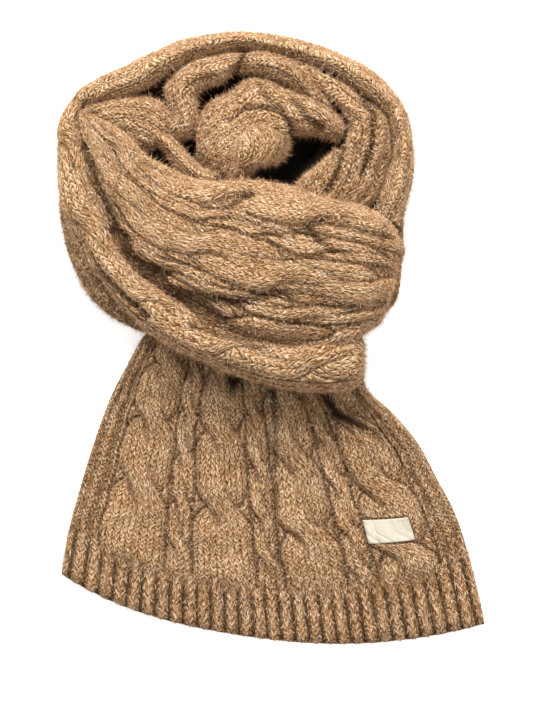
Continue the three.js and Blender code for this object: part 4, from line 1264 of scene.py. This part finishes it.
def brush(name, beds, rng):
    """All the fibres of several beds as one mesh of narrow leaves, shared between the colours."""
    grown = [grow_fibres(fuzz_beds[bed], count, rng) for bed, count in beds.items()]
    leaves, tone = (np.concatenate(part) for part in zip(*grown))
    leaves[..., 2] = np.maximum(leaves[..., 2], 0.05)
    count = len(leaves)
    piece = put_mesh(
        name, leaves.reshape(-1, 3), np.arange(4 * count), np.arange(count) * 4, fibre_finishes[0]
    )
    for finish in fibre_finishes[1:]:
        piece.data.materials.append(finish)
    chosen = rng.choice(len(fibre_finishes), count, p=FIBRE_SHARES)
    # Painted shade: fibres where little light is painted take the dark brown finish, which is also
    # a real fibre colour.
    shaded = rng.random(count) > 0.05 + 1.2 * tone
    chosen = np.where(shaded, len(fibre_finishes) - 1, chosen)
    piece.data.polygons.foreach_set("material_index", chosen.astype(np.int32))
    stand_for(piece)
    print(name, count, "fibres")


fibre_finishes = [
    plain_finish("fibre_" + name, colour, 0.2) for name, colour in FIBRE_COLOURS.items()
]
rng = np.random.default_rng(11)
for name, beds in FIBRES.items():
    brush(name, beds, rng)

# %% [markdown]
# ## What each sheet was cut to
# Every stretch is cloth, so each is printed with the width and length that it would have laid out
# flat. The fibres go with the cloth that they grow from.

# %% Sheets
for piece, width, length, beneath in made_sheets:
    print(piece.name, round(width), "x", round(length), "mm")

# %% [markdown]
# ## Table, light and camera
#
# The photograph looks straight down on a white table in soft light that comes mostly from the upper
# left. A long lens from high above keeps the scarf's height from spreading its outline.

# %% Stage
PIXEL = 0.628 * MM
FRAME_TALL = 711 * PIXEL
VIEW_CENTRE = (-3.45 * MM, -10.7 * MM, 30 * MM)
LENS = 300
SENSOR = 36
TABLE_HALF = 3000
TABLE_TOP = -0.3
TABLE_GLOW = 0.7
ROOM_LIGHT = 0.42


def area_light(name, place, size, power):
    """A square soft box that faces the middle of the scarf."""
    data = bpy.data.lights.new(name, "AREA")
    data.shape = "SQUARE"
    data.size = size
    data.energy = power
    lamp = bpy.data.objects.new(name, data)
    lamp.location = place
    aim = -lamp.location.normalized()
    lamp.rotation_mode = "QUATERNION"
    lamp.rotation_quaternion = aim.to_track_quat("-Z", "Y")
    scene.collection.objects.link(lamp)


floor_finish = plain_finish("white_table", (0.9, 0.9, 0.9))
floor_shader = floor_finish.node_tree.nodes["Principled BSDF"]
floor_shader.inputs["Emission Color"].default_value = (1, 1, 1, 1)
floor_shader.inputs["Emission Strength"].default_value = TABLE_GLOW
table_corners = np.column_stack([TABLE_HALF * SQUARE, np.full(4, TABLE_TOP)])
table_top = put_mesh("table_top", table_corners, np.arange(4), np.array([0]), floor_finish)

world = bpy.data.worlds.new("soft_room")
world.use_nodes = True
world.node_tree.nodes["Background"].inputs["Color"].default_value = (1, 1, 1, 1)
world.node_tree.nodes["Background"].inputs["Strength"].default_value = ROOM_LIGHT
scene.world = world
area_light("key_softbox", (-0.15, 1.05, 1.2), 0.7, 36)
area_light("fill_softbox", (0.5, 0.1, 1.6), 1.0, 5)
scene.view_settings.view_transform = "Standard"

camera = bpy.data.objects.new("camera", bpy.data.cameras.new("camera"))
camera.data.lens = LENS
camera.data.sensor_width = SENSOR
camera.location = (VIEW_CENTRE[0], VIEW_CENTRE[1], VIEW_CENTRE[2] + LENS * FRAME_TALL / SENSOR)
camera.data.clip_end = 20
scene.collection.objects.link(camera)
scene.camera = camera
print("camera", round(camera.location.z, 2), "m above the table")
